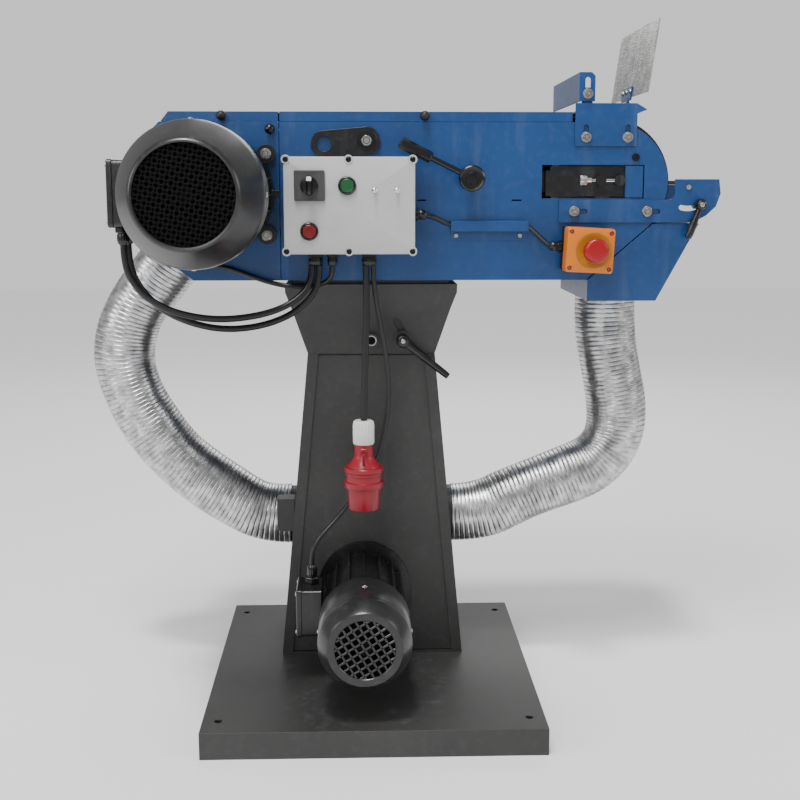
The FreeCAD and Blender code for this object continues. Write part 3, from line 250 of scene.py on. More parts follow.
def shield_finish():
    """A clear sheet that grinding dust has clouded: grey, scratched along its length, half see-through."""
    sheet = Finish("clouded_sheet", (0.42, 0.42, 0.40), 0.35)
    scratches = sheet.noise(0.004, 6, (1, 0.08, 1), 0.7).between(0.5, 0.72)
    cloud = sheet.noise(0.03, 5).between(0.35, 0.7)
    sheet.set("Base Color", sheet.blend(cloud, (0.20, 0.20, 0.19), (0.42, 0.42, 0.40)))
    sheet.set("Alpha", 0.80 + scratches * 0.14 + cloud * 0.06)
    sheet.set("Roughness", 0.22 + scratches * 0.40)
    sheet.bump(scratches, 0.0002)
    return sheet.material


foil_shine = duct_foil_finish()
grey_case = moulded("grey_case", (0.46, 0.46, 0.46), 0.42)
matt_black = moulded("matt_black", (0.007, 0.007, 0.008), 0.48)
gloss_black = moulded("gloss_black", (0.004, 0.004, 0.005), 0.18, 0.00001)
plate_grey = moulded("plate_grey", (0.055, 0.055, 0.056), 0.40)
tip_white = moulded("tip_white", (0.80, 0.80, 0.78), 0.35)
nut_white = moulded("nut_white", (0.66, 0.66, 0.64), 0.40)
start_green = moulded("start_green", (0.001, 0.080, 0.018), 0.30)
stop_red = moulded("stop_red", (0.150, 0.002, 0.004), 0.30)
mushroom_red = moulded("mushroom_red", (0.320, 0.002, 0.005), 0.24)
plug_red = moulded("plug_red", (0.260, 0.003, 0.014), 0.34)
signal_yellow = moulded("signal_yellow", (0.640, 0.165, 0.001), 0.34)
ochre = moulded("ochre", (0.380, 0.135, 0.002), 0.40)
cable_sheath = moulded("cable_sheath", (0.004, 0.004, 0.005), 0.36, 0.00006)
tyre_rubber = moulded("tyre_rubber", (0.018, 0.018, 0.019), 0.62, 0.00020)
# Near-black with little gloss: painted shade for the fan behind each grille and for screw sockets, and the
# black of the main motor's grille bars.
black_and_painted_shade = moulded("black_and_painted_shade", (0.0015, 0.0015, 0.002), 0.60, Specular_IOR_Level=0.12)
abrasive_cloth = abrasive_finish()
clouded_sheet = shield_finish()
print("materials", len(bpy.data.materials))

# %% [markdown]
# ## Surfaces from rings
# Nearly every fitting here is turned or moulded: one outline drawn again at different heights. A round
# outline gives a knob, a hexagon a nut, and a rounded rectangle a box. So one function stacks outlines along
# an axis, another carries a ring along a path, and both return plain arrays of points.

# %% Outlines and stacks
FRONT = np.array([[1, 0, 0], [0, 0, 1], [0, -1, 0]])
UP = np.eye(3)
RIGHT = np.array([[0, 1, 0], [0, 0, 1], [1, 0, 0]])


def circle(reach, angle):
    """A point at the given reach in the direction of the angle."""
    return reach * np.cos(angle), reach * np.sin(angle)


def hexagon(reach, angle):
    """Six flats: the reach grows as one over the cosine of the angle from the nearest flat's middle."""
    off_middle = (angle + math.pi / 6) % (math.pi / 3) - math.pi / 6
    return circle(reach / np.cos(off_middle), angle)


def fluted(count, depth):
    """A circle whose reach dips count times by the given share, as a knurl or a grip's ribs do."""
    def outline(reach, angle):
        return circle(reach * (1 - depth * np.abs(np.sin(count * angle / 2))), angle)
    return outline


def rounded_box(width, height, corner):
    """A rectangle whose corners are quarter circles; the reach grows it outwards on every side."""
    def outline(reach, angle):
        across = np.sign(np.cos(angle)) * (width / 2 - corner)
        along = np.sign(np.sin(angle)) * (height / 2 - corner)
        return across + (corner + reach) * np.cos(angle), along + (corner + reach) * np.sin(angle)
    return outline


def stack(outline, profile, origin, axes=FRONT, count=48, loop=False, turn=0.0):
    """Rings of one outline, one above another.

    The profile lists (reach, height) pairs in millimetres. At each height the outline is drawn at that reach
    and turned by the turn angle, then carried to the origin. Unless the profile is a closed loop, a point in
    the middle of the first and last ring closes the ends.
    """
    profile = np.asarray(profile, float)
    angle = (np.arange(count) + 0.5) * 2 * math.pi / count
    across, along = outline(profile[:, :1], angle[None, :])
    turned_x = across * math.cos(turn) - along * math.sin(turn)
    turned_y = across * math.sin(turn) + along * math.cos(turn)
    heights = np.broadcast_to(profile[:, 1:], turned_x.shape)
    rings = np.stack([turned_x, turned_y, heights], axis=-1) @ axes + np.asarray(origin, float)
    return close_ends(rings * MM, loop), loop


def close_ends(rings, loop):
    """Adds the middle point of the first and the last ring, each as a ring of no size."""
    if loop:
        return rings
    first = np.broadcast_to(rings[:1].mean(axis=1, keepdims=True), rings[:1].shape)
    last = np.broadcast_to(rings[-1:].mean(axis=1, keepdims=True), rings[-1:].shape)
    return np.concatenate([first, rings, last])


def carry(path, reach, count=16, beside=(0, 1, 0)):
    """A ring carried along a path: each ring stands square to the path, and its reach may be an array."""
    path = np.asarray(path, float)
    tangent = np.gradient(path, axis=0)
    tangent /= np.linalg.norm(tangent, axis=1, keepdims=True)
    side = np.cross(tangent, beside)
    side /= np.linalg.norm(side, axis=1, keepdims=True)
    other = np.cross(side, tangent)
    angle = np.arange(count) * 2 * math.pi / count
    reach = np.broadcast_to(reach, (len(path), count))[:, :, None]
    ring = np.cos(angle)[None, :, None] * side[:, None] + np.sin(angle)[None, :, None] * other[:, None]
    return path[:, None] + reach * ring


print("a corner of a nut 10 across:", round(float(hexagon(5.0, np.array([math.pi / 6]))[0][0]), 2))

# %% [markdown]
# Arrays become a piece in one place: the grids are joined, poles and seams are merged, the faces are turned
# outwards, and the piece is tied to its body if it has one. A bevel modifier can round the edges left sharp.

# %% From arrays to a piece
BLENDED = ""


def grid_faces(rows, columns, start, loop):
    """Quads between neighbouring rows and columns; columns wrap round, and rows too in a loop."""
    index = np.arange(rows * columns).reshape(rows, columns) + start
    below = index if loop else index[:-1]
    above = np.roll(index, -1, axis=0) if loop else index[1:]
    quads = [below, np.roll(below, -1, axis=1), np.roll(above, -1, axis=1), above]
    return np.stack(quads, axis=-1).reshape(-1, 4)


def finish_piece(name, mesh, body, nodes, bevel, smooth_angle=35):
    """Smooths, bevels and ties a mesh to its body, and lets it stand for its CAD nodes."""
    mesh.polygons.foreach_set("use_smooth", np.ones(len(mesh.polygons), bool))
    mesh.set_sharp_from_angle(angle=math.radians(smooth_angle))
    piece = bpy.data.objects.new(name, mesh)
    bpy.context.collection.objects.link(piece)
    if bevel:
        rounding = piece.modifiers.new("rounding", "BEVEL")
        rounding.width = bevel * MM
        rounding.segments = 2
        rounding.limit_method = "ANGLE"
        rounding.angle_limit = math.radians(smooth_angle)
        rounding.use_clamp_overlap = True
        normals = piece.modifiers.new("flat_faces", "WEIGHTED_NORMAL")
        normals.keep_sharp = False
    if body:
        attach(piece, body)
    if nodes:
        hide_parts(*nodes)
    return piece


def piece_of(name, surfaces, body, materials, nodes=(), bevel=0.0, tags=None):
    """One object from several grids; tags gives each grid's place in the list of materials.
    """
    points = []
    faces = []
    finish_index = []
    start = 0
    for place, (grid, loop) in enumerate(surfaces):
        rows, columns = grid.shape[:2]
        quads = grid_faces(rows, columns, start, loop)
        points.append(grid.reshape(-1, 3))
        faces.append(quads)
        finish_index.append(np.full(len(quads), tags[place] if tags else 0))
        start += rows * columns
    mesh = bpy.data.meshes.new(name)
    mesh.from_pydata(np.concatenate(points).tolist(), [], np.concatenate(faces).tolist())
    for material in materials:
        mesh.materials.append(material)
    mesh.polygons.foreach_set("material_index", np.concatenate(finish_index).astype(np.int32))
    tidy = bmesh.new()
    tidy.from_mesh(mesh)
    bmesh.ops.remove_doubles(tidy, verts=tidy.verts, dist=1e-6)
    bmesh.ops.dissolve_degenerate(tidy, edges=tidy.edges, dist=1e-7)
    bmesh.ops.recalc_face_normals(tidy, faces=tidy.faces)
    tidy.to_mesh(mesh)
    tidy.free()
    return finish_piece(name, mesh, node_body[nodes[0]] if body is None else body, nodes, bevel)


print("piece maker ready")

# %% [markdown]
# ## Cords
# The two motor leads loop under the motor, a thin sensor lead crosses behind them, the power lead hangs with
# its plug in front of the stand, and a thin lead runs from the box down to the blower. Each is one smooth
# NURBS line through given points. The leads that cross the tilting joint are made as mesh tubes along the
# same kind of line; the others stay curves.

# %% Cord routes
MOTOR_UPPER = [(-0.372, -0.178, 0.772), (-0.372, -0.178, 0.744), (-0.364, -0.175, 0.714),
               (-0.339, -0.166, 0.683), (-0.301, -0.147, 0.661), (-0.246, -0.120, 0.648),
               (-0.188, -0.094, 0.650), (-0.138, -0.072, 0.663), (-0.106, -0.056, 0.687),
               (-0.096, -0.0465, 0.713), (-0.096, -0.046, 0.733)]
MOTOR_LOWER = [(-0.372, -0.140, 0.772), (-0.372, -0.140, 0.744), (-0.363, -0.137, 0.708),
               (-0.336, -0.127, 0.672), (-0.296, -0.111, 0.646), (-0.240, -0.090, 0.629),
               (-0.178, -0.070, 0.632), (-0.126, -0.057, 0.651), (-0.093, -0.049, 0.681),
               (-0.084, -0.046, 0.712), (-0.084, -0.046, 0.733)]
SENSOR = [(-0.063, -0.046, 0.734), (-0.063, -0.046, 0.719), (-0.067, -0.043, 0.706), (-0.082, -0.036, 0.697),
          (-0.108, -0.031, 0.692), (-0.140, -0.029, 0.694), (-0.173, -0.028, 0.702), (-0.206, -0.026, 0.714),
          (-0.235, -0.023, 0.724), (-0.257, -0.0225, 0.727)]
POWER = [(-0.009, -0.046, 0.734), (-0.008, -0.046, 0.652), (-0.011, -0.046, 0.562), (-0.014, -0.046, 0.462)]
BLOWER = [(0.003, -0.046, 0.734), (0.003, -0.046, 0.708), (0.008, -0.041, 0.666), (0.017, -0.031, 0.618),
          (0.026, -0.018, 0.566), (0.029, -0.008, 0.511), (0.024, -0.002, 0.456), (0.009, 0.001, 0.403),
          (-0.015, -0.003, 0.356), (-0.044, -0.016, 0.318), (-0.072, -0.034, 0.290), (-0.093, -0.053, 0.272),
          (-0.101, -0.064, 0.253), (-0.101, -0.065, 0.232)]
STOP_BOX = [(0.084, -0.036, 0.809), (0.094, -0.0355, 0.8075), (0.104, -0.0315, 0.804),
            (0.113, -0.026, 0.7995), (0.122, -0.021, 0.7955), (0.132, -0.0183, 0.792),
            (0.146, -0.018, 0.7912), (0.171, -0.0178, 0.7908), (0.205, -0.0181, 0.7912),
            (0.230, -0.0179, 0.7908), (0.248, -0.0181, 0.7908), (0.259, -0.0205, 0.7874),
            (0.267, -0.024, 0.7806), (0.2745, -0.028, 0.773), (0.2815, -0.032, 0.7658),
            (0.2885, -0.035, 0.760), (0.296, -0.036, 0.758), (0.303, -0.036, 0.7579)]


def smooth_line(name, route, radius=0.0, resolution=10):
    """A NURBS line of order three through a route, with its ends on the first and last point."""
    curve = bpy.data.curves.new(name, "CURVE")
    curve.dimensions = "3D"
    curve.resolution_u = resolution
    curve.bevel_depth = radius
    curve.bevel_resolution = 5
    curve.use_fill_caps = True
    spline = curve.splines.new("NURBS")
    spline.points.add(len(route) - 1)
    spline.points.foreach_set("co", np.column_stack([route, np.ones(len(route))]).ravel())
    spline.order_u = 3
    spline.use_endpoint_u = True
    line = bpy.data.objects.new(name, curve)
    bpy.context.collection.objects.link(line)
    return line


def points_along(route, resolution=10):
    """The points of a route's smooth line, in order."""
    line = smooth_line("route_reader", route, 0.0, resolution)
    bpy.context.view_layer.update()
    mesh = bpy.data.meshes.new_from_object(line.evaluated_get(bpy.context.evaluated_depsgraph_get()))
    points = np.empty(len(mesh.vertices) * 3)
    mesh.vertices.foreach_get("co", points)
    bpy.data.objects.remove(line)
    return points.reshape(-1, 3)


def line_length(points):
    return float(np.linalg.norm(np.diff(points, axis=0), axis=1).sum())


for title, route in (("motor, upper", MOTOR_UPPER), ("power", POWER), ("blower", BLOWER)):
    print("lead,", title, round(line_length(points_along(route)), 3), "m")

# %% Leads that ride on the head
def head_lead(node, route, diameter):
    lead = smooth_line(node + "_lead", route, diameter / 2)
    lead.data.materials.append(cable_sheath)
    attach(lead, "head")
    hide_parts(node)
    length = line_length(points_along(route))


head_lead("motor_cable_upper", MOTOR_UPPER, 0.0105)
head_lead("motor_cable_lower", MOTOR_LOWER, 0.0105)
head_lead("sensor_cable", SENSOR, 0.008)
head_lead("estop_cable", STOP_BOX, 0.008)
print("head leads made")

# %% Leads that cross a joint
def bending_lead(node, route, diameter):
    path = points_along(route)
    surface = (close_ends(carry(path, diameter / 2, 14, (1, 0, 0)), False), False)
    lead = piece_of(node + "_lead", [surface], BLENDED, [cable_sheath], (node,))
    return lead


PLUG_X = -14
PLUG_Y = -46


def make_plug():
    """The plug, from its sealing nut down to the open skirt, as rings about one upright axis."""
    at = (PLUG_X, PLUG_Y, 0)
    nut = stack(fluted(22, 0.07), [(5.6, 474), (14.5, 474.2), (17, 472), (18, 466), (18, 437), (16.5, 434.4),
                                   (5.6, 434.4)], at, UP, 132)
    body = stack(circle, [(6, 433.8), (15.5, 433.8), (15.5, 416), (17.5, 411), (22.5, 404), (26.5, 399),
                          (27.5, 396.5), (31.5, 396.5), (32.4, 395.5), (32.4, 389), (31, 387.5), (31, 383),
                          (29.8, 382), (29.8, 373), (32.4, 371.5), (32.4, 363), (31.6, 361.4), (28, 361),
                          (27.4, 352), (25.6, 326), (25, 325), (22.8, 325), (22.6, 366), (3, 366)],
                 at, UP, 72)
    on_shoulder = np.array([[1, 0, 0], [0, 0.46, -0.89], [0, -0.89, -0.46]])
    bolt = stack(rounded_box(5, 30, 2.3), [(-1, 0), (0, 0.8), (0, 3.4), (-1, 4.2)],
                 (PLUG_X, PLUG_Y - 25, 412), on_shoulder, 24)
    flag = stack(rounded_box(11, 6, 1.2), [(-1, 0), (0, 0.8), (0, 6), (-1, 7)], (PLUG_X, PLUG_Y - 14, 427),
                 FRONT, 24)
    pins = [stack(circle, [(1.2, 331), (2.5, 332.5), (2.5, 367)],
                  (PLUG_X + 14 * math.cos(math.radians(72 * place + 90)),
                   PLUG_Y + 14 * math.sin(math.radians(72 * place + 90)), 0), UP, 16) for place in range(5)]
    return piece_of("plug_detail", [nut, body, bolt, flag] + pins, None, [plug_red, nut_white, bright_chrome],
                    ("power_plug",), 0.0, [1, 0, 0, 0] + [2] * 5)


plug = make_plug()
power_lead = bending_lead("power_cable", POWER, 0.0107)
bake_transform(power_lead)
blower_lead = bending_lead("blower_cable", BLOWER, 0.008)
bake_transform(blower_lead)
print("bending leads made")

# %% [markdown]
# ## Ducts
# Flexible aluminium duct is a strip wound in a spiral, so a rib climbs round the tube as it goes along. The
# rib is a wave in the reach: one turn of the angle moves it on by one pitch. A separate ring per rib would
# also do, but would not show the spiral. The tube is a closed wall, and it bends between head and stand.

# %% Ribbed ducts
LEFT_DUCT = [(-0.344, 0.130, 0.732), (-0.374, 0.130, 0.694), (-0.408, 0.130, 0.652), (-0.431, 0.130, 0.601),
             (-0.436, 0.130, 0.546), (-0.420, 0.130, 0.491), (-0.391, 0.130, 0.436), (-0.352, 0.130, 0.384),
             (-0.302, 0.130, 0.341), (-0.246, 0.130, 0.302), (-0.192, 0.130, 0.272), (-0.144, 0.130, 0.272)]
RIGHT_DUCT = [(0.415, 0.130, 0.664), (0.415, 0.130, 0.620), (0.421, 0.130, 0.571), (0.433, 0.130, 0.516),
              (0.443, 0.130, 0.458), (0.437, 0.130, 0.402), (0.400, 0.130, 0.358), (0.338, 0.130, 0.334),
              (0.264, 0.130, 0.306), (0.196, 0.130, 0.272), (0.144, 0.130, 0.272)]
RIB_PITCH = 0.0078
RIB_DEPTH = 0.0013


def even_points(points, count):
    """The same line with evenly spaced points, by its length so far."""
    so_far = np.concatenate([[0], np.cumsum(np.linalg.norm(np.diff(points, axis=0), axis=1))])
    wanted = np.linspace(0, so_far[-1], count)
    return np.stack([np.interp(wanted, so_far, points[:, axis]) for axis in range(3)], axis=-1), wanted


def ribbed_duct(node, route):
    """Reach = mean - depth * (narrow groove at the seam's phase); the seam climbs one pitch per turn."""
    rough_line = points_along(route, 24)
    path, travelled = even_points(rough_line, int(line_length(rough_line) / RIB_PITCH * 9))
    angle = np.arange(36) * 2 * math.pi / 36
    phase = 2 * math.pi * travelled[:, None] / RIB_PITCH + angle[None, :]
    rib = 0.45 - np.clip(np.cos(phase), 0, 1) ** 5
    sway = 0.0007 * np.sin(travelled[:, None] * 41 + 2 * angle[None, :])
    outside = carry(path, 0.0517 + RIB_DEPTH * rib + sway, 36)
    inside = carry(path, 0.0505 + RIB_DEPTH * rib + sway, 36)[::-1]
    duct = piece_of(node + "_ribbed", [(np.concatenate([outside, inside]), True)], BLENDED, [foil_shine],
                    (node,))
    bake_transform(duct)
    print(node, len(path), "rings,", round(travelled[-1], 3), "m")


ribbed_duct("duct_left", LEFT_DUCT)
ribbed_duct("duct_right", RIGHT_DUCT)

# %% [markdown]
# ## Sheet metal and castings
# The frame's folded plates have the right shape, but a real fold has a small radius that catches the light.
# So each plate is copied, its triangles are joined again into flat faces, and a bevel rounds its edges. Faces
# of another material, such as a black knob on a blue lid, are found by where they lie.

# %% Copy with rounded edges
def rounded_copy(node, material, bevel=0.6, others=()):
    """A copy of a CAD node with its flat faces joined and its edges rounded.

    Each entry of others is (material, test): faces whose middle passes the test take that material. The test
    gets the arrays x, y and z of the middles, in millimetres.
    """
    mesh = frame["nodes"][node].data.copy()
    joined = bmesh.new()
    joined.from_mesh(mesh)
    bmesh.ops.remove_doubles(joined, verts=joined.verts, dist=2e-6)
    flat = math.radians(0.6)
    bmesh.ops.dissolve_limit(joined, angle_limit=flat, verts=joined.verts, edges=joined.edges)
    joined.to_mesh(mesh)
    joined.free()
    mesh.materials.clear()
    middles = np.empty(len(mesh.polygons) * 3)
    mesh.polygons.foreach_get("center", middles)
    x, y, z = (middles.reshape(-1, 3) / MM).T
    index = np.zeros(len(mesh.polygons), np.int32)
    mesh.materials.append(material)
    for place, (other, test) in enumerate(others):
        mesh.materials.append(other)
        index[test(x, y, z)] = place + 1
    mesh.polygons.foreach_set("material_index", index)
    return finish_piece(node + "_finished", mesh, node_body[node], (node,), bevel)


for node in ("base_tray", "pillar_shell", "pillar_front_panel", "pillar_head", "saddle"):
    rounded_copy(node, charcoal_coat, 1.0)
for node in ("head_band", "drive_panel", "front_panel", "rear_panel", "spark_chute", "top_bracket"):
    rounded_copy(node, blue_enamel, 0.8)
for node in ("main_motor_body", "blower_motor_body"):
    rounded_copy(node, motor_enamel, 0.5)
print("sheet metal made")

# %% Pieces of two finishes
def proud_of_front(x, y, z):
    return y < -15.2


for node in ("main_lid", "rear_lid"):
    rounded_copy(node, blue_enamel, 0.8, [(matt_black, proud_of_front)])
for node in ("rest_plates", "upper_guard"):
    rounded_copy(node, blue_enamel, 0.7)
rounded_copy("cable_channel", blue_enamel, 0.5, [(zinc, lambda x, y, z: (y < -13.9) & (z < 780))])
rounded_copy("eye_shield", clouded_sheet, 0.3, [
    (zinc, lambda x, y, z: (y > 106) & (y < 146) & (z > 1000) & (x < 438.4)),
    (blue_enamel, lambda x, y, z: (y > 106) & (y < 146) & (z < 1022))])
rounded_copy("contact_arm", lever_black, 0.5, [
    (blue_enamel, lambda x, y, z: (x > 415.5) & (x < 446) & (y < -6.2)),
    (bright_chrome, lambda x, y, z: (x < 398) & (y < -12.3) & (y > -17.9) & (z > 860.8) & (z < 867.2))])
rounded_copy("lifting_lug", lever_black, 0.6)
print("two-finish pieces made")

# %% Riveted strap of the shield
LEAN = math.radians(7.8)


def shield_strap():
    """A strap on the leaning sheet: its own up is the vertical turned by the lean, and rivets stand on it."""
    axes = np.array([[0, 1, 0], [math.sin(LEAN), 0, math.cos(LEAN)], [-math.cos(LEAN), 0, math.sin(LEAN)]])
    profile = [(-0.5, -0.4), (0, 0.2), (0, 2.2), (-0.6, 2.8)]
    strap = stack(rounded_box(74, 24, 3), profile, (445.2, 127, 1011), axes, 32)
    dome = [(4.4, 2.4), (4.2, 3.8), (3.2, 4.9), (1.6, 5.4)]
    rivets = [stack(circle, dome, (445.6, y, 1014), axes, 20) for y in (97, 127, 157)]
    return piece_of("shield_strap", [strap] + rivets, "eye_shield", [blue_enamel, zinc],
                    tags=[0, 1, 1, 1])


shield_strap()

# %% [markdown]
# ## Fan cowls
# A motor's fan blows through a pressed cowl: a drum that narrows to a face, with a grille in it. The shell is
# turned as one closed wall. The grille is two families of flat bars that cross at right angles, each as long
# as the round opening allows at its place, and behind it a near-black disc and hub are painted shade for the
# fan.

# %% Cowls and grilles
DOWN = np.array([[1, 0, 0], [0, -1, 0], [0, 0, -1]])
LEFT = np.array([[0, -1, 0], [0, 0, 1], [-1, 0, 0]])


def mesh_bars(x, z, opening, pitch, width, face, turn):
    """Crossing bars: one at every pitch, half as long as the root of opening squared less offset squared."""
    bars = []
    steps = range(-int(opening / pitch), int(opening / pitch) + 1)
    for family in (turn, turn + math.pi / 2):
        for step in steps:
            offset = step * pitch
            length = 2 * math.sqrt(opening ** 2 - offset ** 2) + 1
            place = (x + offset * math.cos(family), 0, z + offset * math.sin(family))
            profile = [(-0.8, face - 3.4), (0, face - 2.6), (0, face - 1), (-0.8, face - 0.3)]
            bars.append(stack(rounded_box(width, length, 0.9), profile, place, FRONT, 8, turn=family))
    return bars


def cowl(node, x, z, shell, opening, pitch, width, face, turn, paint, screw_reach, screw_y):
    """The shell is a closed wall turned about the motor's axis; heights run towards the operator."""
    wall = stack(circle, shell, (x, 0, z), FRONT, 96, loop=True)
    # The disc and the hub behind the grille are painted shade: near-black where the fan lies in shadow.
    shade_disc = stack(circle, [(opening + 2, face - 12), (opening + 2, face - 9)], (x, 0, z), FRONT, 48)
    hub = stack(circle, [(14, face - 9), (14, face - 5), (11, face - 4)], (x, 0, z), FRONT, 32)
    screws = []
    for degrees in (0, 90, 180, 270):
        way = math.radians(degrees)
        out = np.array([math.cos(way), 0, math.sin(way)])
        axes = np.array([[0, 1, 0], np.cross(out, [0, 1, 0]), out])
        head = [(4.4, 0), (4.4, 0.8), (3.8, 2.0), (2.0, 2.6), (1.6, 1.6)]
        screws.append(stack(circle, head, np.array([x, screw_y, z]) + out * (screw_reach - 0.8), axes, 16))
    bars = mesh_bars(x, z, opening, pitch, width, face, turn)
    tags = [0, 1, 1] + [2] * len(screws) + [3] * len(bars)
    return piece_of(node + "_turned", [wall, shade_disc, hub] + screws + bars, None,
                    [cowl_coat, black_and_painted_shade, zinc, paint], (node,), 0.0, tags)


MAIN_SHELL = [(105.4, 216), (106, 218), (106, 258), (105.1, 260), (105.1, 263), (106, 265), (106, 276),
              (105, 281), (103, 285.5), (78.5, 345), (76, 348.6), (73.6, 350), (71, 349), (70.4, 346),
              (70.4, 340), (72.5, 339), (99, 284), (102, 279), (103.4, 273), (103.4, 216)]
BLOWER_SHELL = [(72.4, 150), (73, 152), (73, 243), (72.2, 245), (72.2, 247), (73, 249), (73, 254),
                (71.5, 259), (60.5, 279.5), (57.5, 282.6), (54, 283), (47, 283), (46, 282), (46, 277),
                (47, 276), (54, 276), (69.8, 256), (70.4, 252), (70.4, 150)]
cowl("main_motor_cowl", -257, 841, MAIN_SHELL, 70.6, 9.2, 4.4, 346, 0.62, black_and_painted_shade, 106, -262)
cowl("blower_cowl", -14, 166, BLOWER_SHELL, 46.2, 11.6, 3.6, 282.6, 0.56, cowl_coat, 73, -200)
print("cowls made")

# %% [markdown]
# ## Glands and terminal boxes
# A cable gland is a hexagon nut against the wall and a ribbed cap that squeezes the lead. Both are stacks, so
# one function makes any gland from where it sits and which way it points.

# %% Glands
def gland(place, axes, nut, tip, bore, length=21):
    """A hexagon, then a fluted cap that draws in to the lead."""
    flat = nut * 0.88
    share = length / 21
    base = stack(hexagon, [(flat - 1, 0), (flat, 0.9), (flat, 6.4 * share), (flat - 1, 7.4 * share)], place,
                 axes, 48)
    neck = stack(circle, [(tip * 0.84, 7.0 * share), (tip * 0.84, 9.4 * share)], place, axes, 32)
    cap = stack(fluted(14, 0.07), [(tip * 0.95, 8.8 * share), (tip, 9.8 * share), (tip, 16 * share),
                                   (tip * 0.9, 18.6 * share), (bore + 1.2, 20.8 * share), (bore, 21 * share)],
                place, axes, 84)
    return [base, neck, cap]


box_glands = (gland((-90, -46, 749), DOWN, 13, 12, 10.8) + gland((-63, -46, 749), DOWN, 10, 8, 4.2)
              + gland((-4, -46, 749), DOWN, 12.5, 12, 10.2) + gland((68, -36, 809), RIGHT, 10, 8, 4.2)
              + gland((310.5, -36, 758), LEFT, 10, 8, 4.2) + gland((-293, -22.5, 727), RIGHT, 10, 8, 4.2))
piece_of("cable_glands_moulded", box_glands, None, [gloss_black], ("cable_glands",))


def terminal_box(node, middle, width, height, deep, out, lid_screws, glands):
    """A cast box on the motor's left with a flat lid; heights run away from the motor."""
    x, y, z = middle
    body = stack(rounded_box(width, height, 6), [(-1, 0), (0, 1), (0, deep - 9)], middle, out, 48)
    lid = stack(rounded_box(width + 3, height + 3, 6), [(-1, deep - 9), (0, deep - 8.2), (0, deep - 2),
                                                        (-1.4, deep - 0.4), (-3, deep)], middle, out, 48)
    screws = []
    for side in (-1, 1):
        for rise in (-1, 1):
            place = (x, y + side * (width / 2 - 7), z + rise * (height / 2 - 7))
            screws.append(stack(circle, [(4, deep - 0.5), (4, deep + 0.8), (3, deep + 1.6), (1.8, deep + 1.6),
                                         (1.5, deep + 0.6)], place, out, 16))
    surfaces = [body, lid] + screws + glands
    tags = [0, 0] + [1] * 4 + [2] * len(glands)
    return piece_of(node + "_cast", surfaces, None, [motor_enamel, lid_screws, gloss_black], (node,),
                    0.0, tags)


motor_glands = [surface for y in (-178, -140) for surface in gland((-372, y, 795), DOWN, 12, 9.5, 5.4, 28)]
terminal_box("motor_terminal_box", (-350, -149, 843), 108, 97, 40, LEFT, zinc, motor_glands)
terminal_box("blower_terminal_box", (-84, -69, 163), 79, 79, 42, LEFT, zinc,
             gland((-101, -65, 202), UP, 12, 8.5, 4.2, 33))
print("glands and terminal boxes made")

# %% [markdown]
# ## Control box
# A light grey moulded case with a separate lid. Each lid screw sits in a round boss that swells past the
# edge. The rotary switch is a square plate with a disc and a grip bar on it; the grip's white tip shows its
# setting.

# %% Control box
BOX_X = -34.5
BOX_Z = 824
LID_SCREWS = [(x, z) for x in (-134, BOX_X - 1, 65) for z in (752.5, 895.5)]


def control_lid():
    lid = stack(rounded_box(207, 152, 5), [(-2, 72.4), (0, 73.2), (0, 83.4), (-0.8, 85.2), (-2.4, 86)],
                (BOX_X, 0, BOX_Z), FRONT, 64)
    bosses = [stack(circle, [(6.4, 72.6), (7.3, 73.6), (7.3, 85.6), (6.7, 87), (5.2, 87), (4.7, 86.4),
                             (4.7, 86.1)], (x, 0, z), FRONT, 32) for x, z in LID_SCREWS]
    screws = [stack(circle, [(4.4, 84), (4.4, 86.8), (3.6, 87.4), (1.9, 87.4), (1.6, 86.2)], (x, 0, z), FRONT,
                    24) for x, z in LID_SCREWS]
    return piece_of("control_box_lid_moulded", [lid] + bosses + screws, None, [grey_case, gloss_black],
                    ("control_box_lid",), 0.0, [0] * 7 + [1] * 6)


def control_bezels():
    plate = stack(rounded_box(48, 48, 2.5), [(-0.6, 85.6), (0, 86.2), (0, 90.8), (-1.2, 92)], (-97, 0, 855),
                  FRONT, 32)
    frame_line = stack(rounded_box(42, 42, 2), [(0, 91.6), (0, 92.5), (-1, 92.5), (-1, 91.6)], (-97, 0, 855),
                       FRONT, 32, loop=True)
    ring = [(14.6, 85.6), (14.6, 89), (13.6, 91.4), (12.6, 92), (11.6, 91.6), (11.5, 86)]
    rings = [stack(circle, ring, (x, 0, z), FRONT, 48, loop=True) for x, z in ((-38, 855), (-98, 784))]
    pin = [(4.6, 85.6), (4.6, 87.2), (3.6, 88.4), (2.7, 88.8), (2.7, 98.5), (2.0, 100.4), (1.0, 101)]
    pins = [stack(circle, pin, (x, 0, 848), FRONT, 24) for x in (5, 40)]
    return piece_of("control_bezels_moulded", [plate, frame_line] + rings + pins, None,
                    [plate_grey, gloss_black, bright_chrome], ("control_bezels",), 0.0,
                    [0, 0, 1, 1, 2, 2])


def switch_knob():
    disc = stack(fluted(36, 0.02), [(13.4, 92.4), (14, 93), (14, 96), (12.8, 97.4), (12, 97.6)],
                 (-97, 0, 855), FRONT, 108)
    bar = stack(rounded_box(9, 28, 3), [(1.2, 96.5), (0, 99), (-0.4, 109), (-1.4, 111.4), (-2.6, 112)],
                (-97, 0, 855), FRONT, 32)
    tip = stack(rounded_box(7.6, 7, 1.5), [(0, 109), (0, 111.6), (-0.8, 112.3)], (-97, 0, 865.2), FRONT, 24)
    return piece_of("switch_knob_moulded", [disc, bar, tip], None, [gloss_black, tip_white], ("switch_knob",),
                    0.0, [0, 0, 1])


def push_cap(node, x, z, plastic):
    """A cap that crowns a little: its reach shrinks as the square root of its height would."""
    cap = stack(circle, [(10.8, 79), (10.9, 91.6), (10.4, 93), (9.6, 93.5), (8.8, 93.2), (5, 93.8), (2, 94)],
                (x, 0, z), FRONT, 48)
    return piece_of(node + "_moulded", [cap], None, [plastic], (node,))


rounded_copy("control_box", grey_case, 1.2)
control_lid()
control_bezels()
switch_knob()
push_cap("green_button", -38, 855, start_green)
push_cap("red_button", -98, 784, stop_red)
print("control box made")

